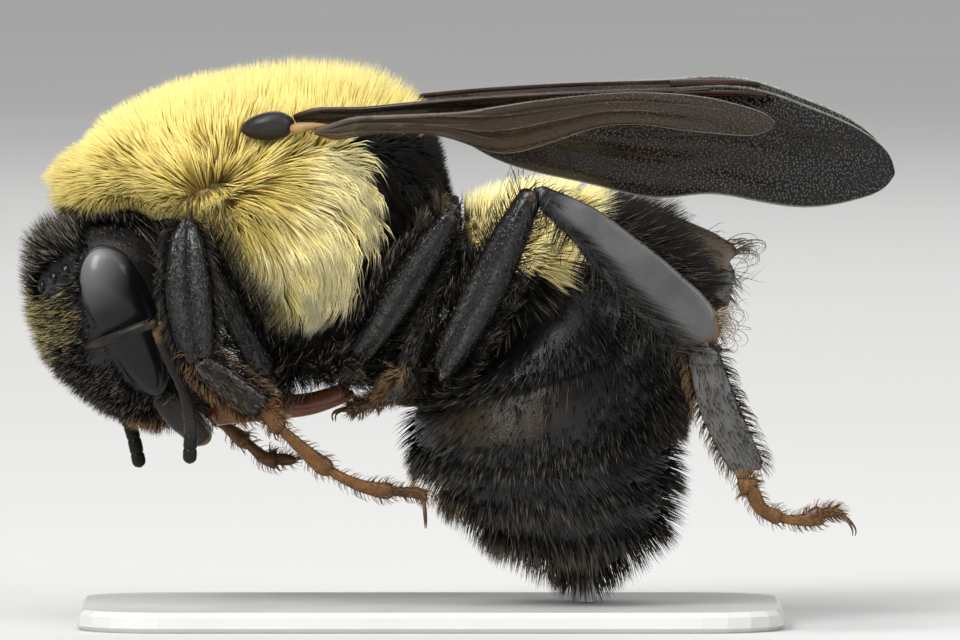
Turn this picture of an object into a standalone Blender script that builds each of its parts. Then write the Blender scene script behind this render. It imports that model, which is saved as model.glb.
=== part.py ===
"""A queen bumblebee, life size and still, on a small display stand.

The head points to -X, the bee's left side to -Y and up is +Z. The stand's
underside is at z = 0 with its centre at the origin. Sizes are in millimetres
up to the last step of each function, which turns them into metres. Each solid
reaches to the tips of the coat, and the solids meet with a thin gap.
"""

import math

import bmesh
import bpy
from mathutils import Matrix, Vector

MM = 0.001
GAP = 0.03  # between pieces that meet
CUT_GROWTH = 1.25  # a cutter grows by this many gaps, as its faces lie inside its curve
SHARP_ANGLE = math.radians(50)  # edges sharper than this stay crisp
WELD = 0.00001  # metres, for the doubled points that a curve's caps leave

# The stand: a flat plate with round corners and one rod up into the abdomen.
BASE_LENGTH, BASE_WIDTH, BASE_THICK = 17.0, 10.0, 0.5
BASE_CORNER, BASE_EDGE = 2.0, 0.12
ROD_RADIUS, ROD_TOP = 0.3, 3.0
ROD_AT = (3.7, 0.0)  # x, y on the plate

# Body widths are half widths, from the midline out to the coat's tips.
THORAX_HALF = 4.35
HEAD_HALF = 2.72
ABDOMEN_HALF = 4.35

# Wings: a straight sheet that leans out towards its leading edge.
WING_THICK = 0.5
WING_ROOT = (-3.2, -3.42, 12.3)
WING_LEAN = 0.9  # how far it comes in for each millimetre down
WING_SPREAD = -0.14  # how far it goes out for each millimetre back
HINDWING_OUT = 0.56  # the hindwing's plane lies this far outside the forewing's

EYE_HALF_LENGTH, EYE_HALF_WIDTH, EYE_HALF_DEPTH = 1.92, 0.74, 0.62
TEGULA_HALF = (0.68, 0.42, 0.4)
FEELER_RADIUS = 0.25

# Ends and edges of the lofted bodies.
END_DOME = 0.35  # height of an end's dome, of its radius
TAIL_DOME = 0.1
SEGMENT_STEP = 0.045  # how far an abdomen segment's front edge tucks in, of its radius
SEGMENT_TURN = 0.3  # the rear edge's share of that tuck
SEGMENT_BOW = 0.35  # how far the flanks of a segment's edge lie nearer the tail

# How many faces go round each kind of body.
THORAX_SIDES, HEAD_SIDES, ABDOMEN_SIDES, LIMB_SIDES = 16, 16, 16, 8


# Objects and materials -----------------------------------------------------


def clear_scene():
    for item in list(bpy.data.objects):
        bpy.data.objects.remove(item, do_unlink=True)


def new_collection(name):
    group = bpy.data.collections.new(name)
    bpy.context.scene.collection.children.link(group)
    return group


def new_material(name, colour, roughness, metallic=0.0):
    material = bpy.data.materials.new(name)
    material.use_nodes = True
    shader = material.node_tree.nodes["Principled BSDF"]
    shader.inputs["Base Color"].default_value = (*colour, 1.0)
    shader.inputs["Roughness"].default_value = roughness
    shader.inputs["Metallic"].default_value = metallic
    return material


def add_object(name, mesh, look):
    """Puts a mesh in the bee's collection, smooth shaded, in its own copy of a look."""
    colour, roughness, metallic = LOOKS[look]
    mesh.materials.clear()
    mesh.materials.append(new_material(name + "_" + look, colour, roughness, metallic))
    mesh.shade_smooth()
    mesh.set_sharp_from_angle(angle=SHARP_ANGLE)
    piece = bpy.data.objects.new(name, mesh)
    BEE.objects.link(piece)
    WHOLE[name] = mesh.copy()
    return piece


def mesh_of(shape, name):
    """A bmesh made in millimetres becomes a mesh in metres, faces outward. Bent
    quads are split, so that every face is flat when another piece cuts it."""
    bent = [f for f in shape.faces if len(f.verts) == 4]
    bmesh.ops.triangulate(shape, faces=bent)
    bmesh.ops.scale(shape, vec=(MM, MM, MM), verts=shape.verts)
    bmesh.ops.recalc_face_normals(shape, faces=shape.faces)
    mesh = bpy.data.meshes.new(name)
    shape.to_mesh(mesh)
    shape.free()
    return mesh


# Lofts ---------------------------------------------------------------------


def smooth_between(rows, steps):
    """Rows of numbers with steps - 1 more between each two, on a Catmull-Rom curve."""
    count = len(rows)
    result = []
    for i in range(count - 1):
        before = rows[max(i - 1, 0)]
        after = rows[min(i + 2, count - 1)]
        for step in range(steps):
            t = step / steps
            result.append(
                tuple(
                    0.5
                    * (
                        2 * b
                        + (c - a) * t
                        + (2 * a - 5 * b + 4 * c - d) * t * t
                        + (3 * b - a - 3 * c + d) * t**3
                    )
                    for a, b, c, d in zip(before, rows[i], rows[i + 1], after)
                )
            )
    result.append(tuple(rows[-1]))
    return result


def skin_rings(rings, name, domes=(END_DOME, END_DOME)):
    """Joins rings of points into a closed body, with a low dome at each end."""
    shape = bmesh.new()
    loops = [[shape.verts.new(point) for point in ring] for ring in rings]
    sides = len(loops[0])
    for low, high in zip(loops, loops[1:]):
        for k in range(sides):
            n = (k + 1) % sides
            shape.faces.new((low[k], low[n], high[n], high[k]))
    for loop, inner, dome in ((loops[0], rings[1], domes[0]), (loops[-1], rings[-2], domes[1])):
        middle = sum((v.co for v in loop), Vector()) / sides
        inward = sum((Vector(p) for p in inner), Vector()) / sides - middle
        radius = sum((v.co - middle).length for v in loop) / sides
        tip = shape.verts.new(middle - inward.normalized() * radius * dome)
        for k in range(sides):
            shape.faces.new((loop[k], loop[(k + 1) % sides], tip))
    return mesh_of(shape, name)


def body_rings(rows, sides, fullness=2.2, bow=0.0):
    """Rings across the midline. A row is the upper or outer point x, z, the lower
    or inner point x, z, and the half width. bow pushes the flanks tailwards."""
    rings = []
    for upper_x, upper_z, lower_x, lower_z, half in rows:
        upper = Vector((upper_x, 0, upper_z))
        lower = Vector((lower_x, 0, lower_z))
        middle, reach = (upper + lower) / 2, (upper - lower) / 2
        tailward = Vector((reach.z, 0, -reach.x)).normalized()
        ring = []
        for k in range(sides):
            angle = 2 * math.pi * k / sides
            c, s = math.cos(angle), math.sin(angle)
            along = math.copysign(abs(c) ** (2 / fullness), c)
            across = math.copysign(abs(s) ** (2 / fullness), s)
            point = middle + reach * along + Vector((0, half * across, 0))
            ring.append(point + tailward * bow * s * s)
        rings.append(ring)
    return rings


def limb_rings(rows, sides):
    """Oval rings along a limb. A row is its centre x, y, z, the half width seen
    from the side, and the half depth towards the viewer."""
    centres = [Vector(row[:3]) for row in rows]
    rings = []
    for i, row in enumerate(rows):
        ahead = centres[min(i + 1, len(rows) - 1)] - centres[max(i - 1, 0)]
        ahead.normalize()
        depth = Vector((0, 1, 0)) - ahead * ahead.y
        if abs(ahead.y) > abs(ahead.x) + abs(ahead.z):
            depth = Vector((0, 0, 1)) - ahead * ahead.z
        depth.normalize()
        width = ahead.cross(depth)
        ring = []
        for k in range(sides):
            angle = 2 * math.pi * k / sides
            ring.append(
                centres[i]
                + width * row[3] * math.cos(angle)
                + depth * row[4] * math.sin(angle)
            )
        rings.append(ring)
    return rings


def limb(name, rows, look, steps=2):
    """A limb through the given rows; where they are close, steps may be 1."""
    rings = limb_rings(smooth_between(rows, steps), LIMB_SIDES)
    return add_object(name, skin_rings(rings, name), look)


def mirrored(rows):
    """The same limb on the other side of the midline."""
    return [(row[0], -row[1], *row[2:]) for row in rows]


def mirrored_piece(piece, name, look):
    """A finished piece again on the other side of the midline."""
    mesh = piece.data.copy()
    mesh.transform(Matrix.Diagonal((1, -1, 1, 1)))
    mesh.flip_normals()
    mesh.name = name
    return add_object(name, mesh, look)


# Other shapes ----------------------------------------------------------------


def ellipsoid(name, centre, halves, turn, look, segments=16, rings=9):
    shape = bmesh.new()
    bmesh.ops.create_uvsphere(shape, u_segments=segments, v_segments=rings, radius=1)
    place = Matrix.Translation(centre) @ turn.to_4x4() @ Matrix.Diagonal((*halves, 1))
    bmesh.ops.transform(shape, matrix=place, verts=shape.verts)
    return add_object(name, mesh_of(shape, name), look)


def tube(name, points, radii, look):
    """A round tube on a smooth curve through the points, with filled ends."""
    data = bpy.data.curves.new(name, "CURVE")
    data.dimensions = "3D"
    data.bevel_depth = MM
    data.bevel_resolution = 1
    data.use_fill_caps = True
    rows = smooth_between([(*p, r) for p, r in zip(points, radii)], 2)
    spline = data.splines.new("POLY")
    spline.points.add(len(rows) - 1)
    for point, (x, y, z, radius) in zip(spline.points, rows):
        point.co = (x * MM, y * MM, z * MM, 1)
        point.radius = radius
    holder = bpy.data.objects.new(name + "_curve", data)
    BEE.objects.link(holder)
    mesh = plain_mesh(holder)
    mesh.name = name
    bpy.data.objects.remove(holder, do_unlink=True)
    weld(mesh)
    return add_object(name, mesh, look)


def plain_mesh(piece):
    """The mesh that a piece shows, with its curve or modifiers turned into faces."""
    bpy.context.view_layer.update()
    graph = bpy.context.evaluated_depsgraph_get()
    return bpy.data.meshes.new_from_object(piece.evaluated_get(graph))


def weld(mesh):
    shape = bmesh.new()
    shape.from_mesh(mesh)
    bmesh.ops.remove_doubles(shape, verts=shape.verts, dist=WELD)
    bmesh.ops.recalc_face_normals(shape, faces=shape.faces)
    shape.to_mesh(mesh)
    shape.free()


# Fitting pieces to each other -----------------------------------------------


def carve(piece, cutters, gap=GAP):
    """Cuts from a piece the space of its whole neighbours and a thin gap round them."""
    for cutter in cutters:
        grown = WHOLE[cutter.name].copy()
        shape = bmesh.new()
        shape.from_mesh(grown)
        shape.normal_update()
        for v in shape.verts:
            v.co += v.normal * gap * MM * CUT_GROWTH
        shape.to_mesh(grown)
        shape.free()
        tool = bpy.data.objects.new(cutter.name + "_cutter", grown)
        tool.hide_render = True
        tool.display_type = "WIRE"
        CUTTERS.objects.link(tool)
        cut = piece.modifiers.new("cut", "BOOLEAN")
        cut.operation = "DIFFERENCE"
        cut.object = tool
        mesh = plain_mesh(piece)
        piece.modifiers.remove(cut)
        bpy.data.objects.remove(tool, do_unlink=True)
        keep_main_body(mesh)
        piece.data = mesh


def keep_main_body(mesh):
    """Drops the loose slivers that a cut leaves beside the main body."""
    shape = bmesh.new()
    shape.from_mesh(mesh)
    todo, bodies = set(shape.verts), []
    while todo:
        front = [todo.pop()]
        body = set(front)
        while front:
            here = front.pop()
            for edge in here.link_edges:
                other = edge.other_vert(here)
                if other in todo:
                    todo.remove(other)
                    body.add(other)
                    front.append(other)
        bodies.append(body)
    bodies.sort(key=len)
    for body in bodies[:-1]:
        bmesh.ops.delete(shape, geom=list(body), context="VERTS")
    shape.to_mesh(mesh)
    shape.free()


# The bee ---------------------------------------------------------------------

WHOLE = {}  # each piece's mesh as first made, before anything is cut from it

LOOKS = {
    "yellow_pile": ((0.78, 0.68, 0.26), 0.8, 0.0),
    "black_pile": ((0.02, 0.018, 0.016), 0.75, 0.0),
    "black_shell": ((0.015, 0.015, 0.017), 0.35, 0.0),
    "eye_glass": ((0.01, 0.01, 0.012), 0.12, 0.0),
    "brown_shell": ((0.2, 0.07, 0.02), 0.35, 0.0),
    "wing_skin": ((0.05, 0.035, 0.025), 0.3, 0.0),
    "stand_lacquer": ((0.7, 0.69, 0.66), 0.45, 0.0),
    "rod_steel": ((0.6, 0.6, 0.6), 0.3, 1.0),
}


def make_stand():
    shape = bmesh.new()
    bmesh.ops.create_cube(shape, size=1)
    bmesh.ops.scale(shape, vec=(BASE_LENGTH, BASE_WIDTH, BASE_THICK), verts=shape.verts)
    bmesh.ops.translate(shape, vec=(0, 0, BASE_THICK / 2), verts=shape.verts)
    upright = [e for e in shape.edges if e.verts[0].co.z != e.verts[1].co.z]
    bmesh.ops.bevel(
        shape, geom=upright, offset=BASE_CORNER, segments=5, affect="EDGES", profile=0.5
    )
    base = add_object("stand_base", mesh_of(shape, "stand_base"), "stand_lacquer")
    edge = base.modifiers.new("edge", "BEVEL")
    edge.width = BASE_EDGE * MM
    edge.segments = 1
    edge.limit_method = "ANGLE"
    edge.angle_limit = SHARP_ANGLE

    shape = bmesh.new()
    bmesh.ops.create_cone(
        shape,
        segments=16,
        radius1=ROD_RADIUS,
        radius2=ROD_RADIUS,
        depth=ROD_TOP - BASE_THICK - GAP,
        cap_ends=True,
    )
    middle = (ROD_TOP + BASE_THICK + GAP) / 2
    bmesh.ops.translate(shape, vec=(*ROD_AT, middle), verts=shape.verts)
    return base, add_object("stand_rod", mesh_of(shape, "stand_rod"), "rod_steel")


def make_thorax():
    # x, top of the pile, underside, half width as a share of the widest
    stations = [
        (-9.25, 10.45, 10.05, 0.14),
        (-8.35, 11.86, 10.13, 0.5),
        (-7.6, 12.55, 10.1, 0.69),
        (-6.1, 13.2, 9.6, 0.88),
        (-4.6, 13.5, 7.75, 0.985),
        (-3.8, 13.66, 6.75, 1.0),
        (-2.7, 13.7, 6.2, 0.99),
        (-1.7, 13.6, 6.0, 0.9),
        (-0.8, 13.3, 6.1, 0.74),
        (0.05, 12.4, 7.0, 0.54),
        (0.6, 10.4, 8.6, 0.24),
    ]
    rows = [(x, top, x, under, half * THORAX_HALF) for x, top, under, half in stations]
    rings = body_rings(smooth_between(rows, 2), THORAX_SIDES)
    return add_object("thorax", skin_rings(rings, "thorax"), "yellow_pile")


def make_head():
    # face side x, z, back of the head x, z, half width as a share of the widest
    stations = [
        (-9.3, 10.0, -8.4, 10.16, 0.42),
        (-9.88, 9.45, -7.5, 10.25, 0.78),
        (-9.98, 8.45, -6.36, 9.98, 0.97),
        (-9.86, 7.35, -5.86, 9.24, 1.0),
        (-9.48, 6.36, -5.7, 8.16, 1.0),
        (-8.76, 5.59, -5.62, 7.08, 0.95),
        (-7.92, 4.99, -5.58, 6.05, 0.8),
        (-6.96, 4.61, -5.5, 5.16, 0.55),
        (-6.3, 4.44, -5.5, 4.68, 0.3),
    ]
    rows = [(*row[:4], row[4] * HEAD_HALF) for row in stations]
    rings = body_rings(smooth_between(rows, 2), HEAD_SIDES, fullness=2.3)
    return add_object("head", skin_rings(rings, "head"), "black_pile")


def make_eye(side):
    """A long oval eye, its lower end nearer the mouth and a little further in."""
    centre = Vector((-7.3, side * 2.3, 7.4))
    down_face = Vector((0.4, side * -0.1, -0.91)).normalized()
    out = Vector((0, side, 0))
    out = (out - down_face * down_face.dot(out)).normalized()
    across = down_face.cross(out)
    turn = Matrix((across, out, down_face)).transposed()
    halves = (EYE_HALF_WIDTH, EYE_HALF_DEPTH, EYE_HALF_LENGTH)
    name = "eye_left" if side < 0 else "eye_right"
    return ellipsoid(name, centre, halves, turn, "eye_glass", 12, 8)


def make_tegula(side):
    centre = Vector((-3.9, side * 3.5, 12.1))
    turn = Matrix.Rotation(math.radians(-10), 3, "Y")
    turn = Matrix.Rotation(math.radians(side * -40), 3, "X") @ turn
    name = "tegula_left" if side < 0 else "tegula_right"
    return ellipsoid(name, centre, TEGULA_HALF, turn, "black_shell", 10, 6)


ABDOMEN = [
    # upper x, z, lower x, z, half width as a share of the widest, at each border
    # of a segment and at its middle
    (0.82, 10.5, 0.72, 8.0, 0.36),
    (2.16, 10.85, 0.8, 7.25, 0.66),
    (3.84, 10.9, 0.6, 6.36, 0.82),
    (6.0, 10.2, -0.1, 5.75, 0.95),
    (7.4, 8.2, -1.0, 5.2, 1.0),
    (6.8, 6.5, -0.9, 4.4, 1.0),
    (6.3, 4.85, -0.67, 3.7, 0.97),
    (6.3, 4.1, -0.35, 3.25, 0.93),
    (6.29, 3.4, 0.05, 2.83, 0.87),
    (6.2, 2.85, 0.6, 2.4, 0.79),
    (6.0, 2.28, 1.2, 2.04, 0.68),
    (5.16, 1.49, 2.28, 1.32, 0.42),
    (4.3, 1.06, 3.2, 1.0, 0.16),
]


def make_abdomen():
    """Six rings of the abdomen, each a little wider at its rear edge than the
    front edge of the next."""
    pieces = []
    for number in range(6):
        front, middle, rear = ABDOMEN[2 * number : 2 * number + 3]
        rows = []
        for t in (0.0, 0.12, 0.5, 0.85, 1.0):
            near = t * 2
            a, b = (front, middle) if near <= 1 else (middle, rear)
            f = near if near <= 1 else near - 1
            row = [p + (q - p) * f for p, q in zip(a, b)]
            tuck = SEGMENT_STEP if t == 0 and number else 0.0
            tuck += SEGMENT_STEP * SEGMENT_TURN if t == 1.0 and number < 5 else 0.0
            centre = ((row[0] + row[2]) / 2, (row[1] + row[3]) / 2)
            for k in range(4):
                row[k] += (centre[k % 2] - row[k]) * tuck
            row[4] *= (1 - tuck) * ABDOMEN_HALF
            rows.append(row)
        # a thin gap to the segment behind
        if number < 5:
            last, before = rows[-1], rows[-2]
            for k in range(4):
                step = before[k] - last[k]
                last[k] += math.copysign(min(abs(step), GAP * 2), step)
        rings = body_rings(rows, ABDOMEN_SIDES, fullness=2.1, bow=SEGMENT_BOW)
        look = "yellow_pile" if number == 0 else "black_pile"
        name = "abdomen_" + str(number + 1)
        domes = (END_DOME if number == 0 else 0, TAIL_DOME if number == 5 else 0)
        pieces.append(add_object(name, skin_rings(rings, name, domes), look))
    return pieces


LEGS = {
    # each joint's row: centre x, y, z, half width seen from the side, half depth
    "foreleg_left": {
        "coxa": [
            (-3.3, -0.95, 6.95, 0.4, 0.4),
            (-3.62, -1.3, 6.3, 0.44, 0.42),
            (-3.95, -1.6, 5.95, 0.36, 0.36),
        ],
        "femur": [
            (-4.0, -1.75, 6.3, 0.4, 0.38),
            (-4.85, -2.8, 7.9, 0.4, 0.36),
            (-5.7, -3.25, 9.4, 0.3, 0.3),
        ],
        "tibia": [
            (-5.8, -3.55, 9.75, 0.28, 0.25),
            (-5.84, -3.72, 9.1, 0.52, 0.3),
            (-5.8, -3.75, 8.1, 0.62, 0.3),
            (-5.68, -3.7, 7.2, 0.56, 0.28),
            (-5.55, -3.65, 6.6, 0.42, 0.26),
        ],
        "basitarsus": [
            (-5.5, -3.63, 6.45, 0.34, 0.26),
            (-4.9, -3.5, 5.95, 0.42, 0.26),
            (-4.1, -3.25, 5.35, 0.4, 0.26),
        ],
        "tarsus": [
            (-4.0, -3.22, 5.26, 0.3, 0.26),
            (-2.66, -3.1, 3.98, 0.32, 0.26),
            (-1.45, -3.0, 3.38, 0.28, 0.25),
            (-0.15, -2.95, 3.3, 0.27, 0.25),
        ],
    },
    "midleg_left": {
        "coxa": [
            (-2.1, -1.3, 6.7, 0.42, 0.42),
            (-2.0, -1.9, 6.25, 0.46, 0.44),
            (-1.8, -2.4, 6.3, 0.38, 0.38),
        ],
        "femur": [
            (-1.65, -2.45, 6.75, 0.42, 0.4),
            (-1.25, -3.0, 7.25, 0.42, 0.4),
            (-0.8, -3.5, 7.95, 0.52, 0.4),
            (-0.12, -3.95, 9.0, 0.46, 0.35),
            (0.5, -4.2, 9.95, 0.3, 0.28),
        ],
        "tibia": [
            (0.5, -4.02, 9.96, 0.26, 0.26),
            (0.36, -3.15, 9.1, 0.32, 0.28),
            (-0.08, -3.0, 7.7, 0.34, 0.28),
            (-0.5, -3.05, 6.45, 0.34, 0.28),
        ],
        "basitarsus": [
            (-0.5, -3.0, 6.2, 0.32, 0.28),
            (-0.75, -2.2, 5.8, 0.34, 0.28),
            (-0.95, -1.45, 5.6, 0.3, 0.26),
        ],
        "tarsus": [
            (-1.0, -1.35, 5.56, 0.26, 0.25),
            (-1.45, -0.85, 5.35, 0.26, 0.25),
            (-1.95, -0.5, 5.2, 0.25, 0.25),
        ],
    },
    "hindleg_left": {
        "coxa": [
            (-0.55, -0.95, 7.2, 0.5, 0.46),
            (-0.1, -1.6, 6.7, 0.54, 0.48),
            (0.15, -2.3, 6.35, 0.44, 0.42),
        ],
        "femur": [
            (0.4, -2.75, 6.35, 0.44, 0.4),
            (0.7, -3.6, 6.95, 0.54, 0.44),
            (1.24, -4.35, 8.0, 0.62, 0.44),
            (1.87, -4.8, 9.4, 0.54, 0.42),
            (2.42, -4.95, 10.5, 0.34, 0.3),
        ],
        "tibia": [
            (2.6, -4.98, 10.5, 0.28, 0.28),
            (3.72, -5.2, 9.78, 0.52, 0.3),
            (5.0, -5.3, 8.55, 0.76, 0.3),
            (6.1, -5.3, 7.5, 0.82, 0.3),
            (6.55, -5.3, 7.05, 0.6, 0.28),
        ],
        "basitarsus": [
            (6.5, -5.28, 6.85, 0.4, 0.28),
            (6.9, -5.2, 5.4, 0.52, 0.28),
            (7.6, -5.1, 3.95, 0.44, 0.26),
        ],
        "tarsus": [
            (7.58, -5.08, 3.85, 0.28, 0.26),
            (7.85, -5.0, 2.98, 0.28, 0.26),
            (8.95, -4.9, 2.7, 0.27, 0.25),
            (9.75, -4.85, 3.05, 0.26, 0.25),
        ],
    },
}
# The far legs are the near ones mirrored, apart from these segments.
FAR_LEGS = {
    "foreleg_right": {
        "basitarsus": [
            (-5.6, 3.62, 6.45, 0.34, 0.26),
            (-5.6, 3.4, 5.75, 0.42, 0.26),
            (-5.42, 3.1, 5.05, 0.38, 0.26),
        ],
        "tarsus": [
            (-5.38, 3.08, 4.95, 0.28, 0.26),
            (-4.44, 3.0, 4.2, 0.3, 0.26),
            (-3.85, 2.95, 3.75, 0.27, 0.25),
            (-3.4, 2.9, 4.05, 0.25, 0.25),
        ],
    },
    "midleg_right": {},
    "hindleg_right": {
        "tibia": [
            (2.6, 4.98, 10.42, 0.28, 0.28),
            (4.1, 5.2, 9.7, 0.55, 0.3),
            (5.6, 5.3, 9.1, 0.76, 0.3),
            (6.8, 5.3, 8.65, 0.7, 0.3),
            (7.25, 5.3, 8.5, 0.5, 0.28),
        ],
        "basitarsus": [
            (7.1, 5.28, 8.35, 0.4, 0.28),
            (6.6, 5.2, 6.9, 0.52, 0.28),
            (5.85, 5.1, 5.6, 0.44, 0.26),
        ],
        "tarsus": [
            (5.78, 5.08, 5.45, 0.28, 0.26),
            (5.0, 5.0, 4.6, 0.28, 0.26),
            (4.3, 4.9, 4.2, 0.27, 0.25),
            (3.5, 4.85, 3.9, 0.26, 0.25),
        ],
    },
}


def leg_segment(leg, segment, rows):
    look = "brown_shell" if segment == "tarsus" else "black_shell"
    steps = 1 if segment == "coxa" or len(rows) > 4 else 2
    return limb(leg + "_" + segment, rows, look, steps)


def make_near_legs():
    """The left legs, each segment cut to meet the one before it."""
    legs = {
        (leg, segment): leg_segment(leg, segment, rows)
        for leg, segments in LEGS.items()
        for segment, rows in segments.items()
    }
    for leg, segments in LEGS.items():
        before = [thorax]
        for segment in segments:
            carve(legs[leg, segment], before)
            before = [thorax] * (segment == "coxa") + [legs[leg, segment]]
    carve(legs["midleg_left", "tibia"], [legs["hindleg_left", "femur"]])
    return legs


def make_far_legs(near):
    """The right legs: mirrored from the left ones or made from their own rows."""
    legs = {}
    for (near_leg, segment), piece in near.items():
        leg = near_leg.replace("left", "right")
        rows = FAR_LEGS[leg].get(segment)
        if rows:
            legs[leg, segment] = leg_segment(leg, segment, rows)
            carve(legs[leg, segment], [before])
        else:
            look = "brown_shell" if segment == "tarsus" else "black_shell"
            legs[leg, segment] = mirrored_piece(piece, leg + "_" + segment, look)
        before = legs[leg, segment]
    return legs


def make_feelers():
    """Each feeler is a stiff first joint, the scape, and a jointed flagellum."""
    near_elbow = (-6.62, -3.35, 7.4)
    far_elbow = (-8.1, 2.75, 6.9)
    paths = {
        "antenna_left_scape": [
            (-8.6, -1.7, 6.65),
            (-7.9, -2.85, 6.9),
            (-7.2, -3.28, 7.17),
            near_elbow,
        ],
        "antenna_left_flagellum": [
            (-6.6, -3.33, 7.25),
            (-6.19, -3.25, 6.34),
            (-5.93, -3.12, 5.86),
            (-5.78, -3.0, 5.2),
            (-5.74, -2.95, 4.65),
            (-5.81, -2.9, 4.1),
        ],
        "antenna_right_scape": [(-8.25, 1.0, 6.75), (-8.2, 1.9, 6.85), far_elbow],
        "antenna_right_flagellum": [
            (-8.1, 2.8, 6.8),
            (-7.93, 2.75, 5.95),
            (-7.72, 2.5, 5.35),
            (-7.37, 2.35, 4.82),
            (-7.2, 2.3, 4.3),
            (-7.1, 2.3, 3.77),
        ],
    }
    return {
        name: tube(name, points, [FEELER_RADIUS] * len(points), "black_shell")
        for name, points in paths.items()
    }


def make_mouthparts():
    mandible = [
        (-6.55, -1.75, 5.6, 0.3, 0.3),
        (-6.0, -1.4, 5.05, 0.42, 0.3),
        (-5.5, -0.45, 4.5, 0.3, 0.26),
    ]
    tongue = [
        (-5.25, 0.0, 5.1, 0.36, 0.34),
        (-3.9, 0.0, 5.22, 0.34, 0.36),
        (-2.9, 0.0, 5.3, 0.3, 0.32),
        (-2.0, 0.0, 5.62, 0.25, 0.26),
    ]
    return (
        limb("mandible_left", mandible, "black_shell"),
        limb("mandible_right", mirrored(mandible), "black_shell"),
        limb("proboscis", tongue, "brown_shell"),
    )


# Outlines seen from the side: x, z along the leading edge out to the tip and
# back along the trailing edge.
FOREWING = [
    (-3.2, 12.45),
    (-1.6, 12.62),
    (1.6, 12.95),
    (5.8, 13.15),
    (7.5, 13.2),
    (9.1, 12.7),
    (10.6, 11.95),
    (11.1, 11.3),
    (10.95, 10.62),
    (10.2, 10.25),
    (8.9, 10.05),
    (7.8, 10.2),
    (6.7, 10.4),
    (5.4, 10.25),
    (3.9, 10.6),
    (1.65, 11.15),
    (0.2, 11.95),
    (-1.6, 12.08),
    (-3.2, 12.05),
]
HINDWING = [
    (-2.7, 12.15),
    (0.6, 12.55),
    (3.3, 12.95),
    (5.5, 13.05),
    (7.4, 12.75),
    (8.2, 12.35),
    (8.1, 11.95),
    (6.8, 11.88),
    (4.4, 12.1),
    (2.8, 11.6),
    (1.7, 11.35),
    (0.3, 11.8),
    (-1.2, 11.85),
    (-2.7, 11.8),
]


def make_wing(name, outline, out, side):
    """A flat outline, turned and leant into the wing's plane, which lies the
    given distance outside the forewing's."""
    lean = Vector((0, -WING_LEAN, 1)).normalized()
    back = Vector((1, WING_SPREAD, 0)).normalized()
    lean = (lean - back * lean.dot(back)).normalized()
    face = back.cross(lean).normalized()
    root = Vector(WING_ROOT) + Vector((0, out / face.y, 0))
    data = bpy.data.curves.new(name, "CURVE")
    data.dimensions = "2D"
    data.fill_mode = "BOTH"
    data.extrude = WING_THICK / 2 * MM
    data.resolution_u = 3
    spline = data.splines.new("BEZIER")
    spline.bezier_points.add(len(outline) - 1)
    spline.use_cyclic_u = True
    for point, (x, z) in zip(spline.bezier_points, outline):
        v = (z - root.z) / lean.z
        u = (x - root.x - lean.x * v) / back.x
        point.co = (u * MM, v * MM, 0)
        point.handle_left_type = point.handle_right_type = "AUTO"
    holder = bpy.data.objects.new(name + "_curve", data)
    BEE.objects.link(holder)
    mesh = plain_mesh(holder)
    mesh.name = name
    bpy.data.objects.remove(holder, do_unlink=True)
    turn = Matrix((back, lean, face)).transposed().to_4x4()
    place = Matrix.Translation(root * MM) @ turn
    if side > 0:
        place = Matrix.Diagonal((1, -1, 1, 1)) @ place
    mesh.transform(place)
    weld(mesh)
    return add_object(name, mesh, "wing_skin")


clear_scene()
BEE = new_collection("bumblebee")
CUTTERS = new_collection("cutters")

base, rod = make_stand()
thorax = make_thorax()
head = make_head()
eyes = [make_eye(side) for side in (-1, 1)]
tegulae = [make_tegula(side) for side in (-1, 1)]
abdomen = make_abdomen()
feelers = make_feelers()
mandibles_and_tongue = make_mouthparts()
wings = []
for side, word in ((-1, "left"), (1, "right")):
    fore = make_wing("forewing_" + word, FOREWING, 0.0, side)
    hind = make_wing("hindwing_" + word, HINDWING, HINDWING_OUT, side)
    wings += [fore, hind]

tongue = mandibles_and_tongue[2]
carve(thorax, [*tegulae, *wings, tongue])
carve(head, [thorax, *eyes, *mandibles_and_tongue, *feelers.values()])
for wing in wings:
    carve(wing, tegulae)
carve(abdomen[0], [thorax])
for number in (4, 5):
    carve(abdomen[number], [rod])

legs = make_near_legs()
legs |= make_far_legs(legs)
for word in ("left", "right"):
    scape, flagellum = (feelers["antenna_" + word + part] for part in ("_scape", "_flagellum"))
    carve(flagellum, [scape])
    carve(abdomen[1], [legs["hindleg_" + word, "femur"], legs["midleg_" + word, "tarsus"]])
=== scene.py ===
"""Looks of the queen bumblebee on her display stand: shell, coat, wings, light."""

import math

import bmesh
import bpy
import numpy as np
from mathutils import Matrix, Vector
from mathutils.bvhtree import BVHTree
from mathutils.kdtree import KDTree


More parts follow.
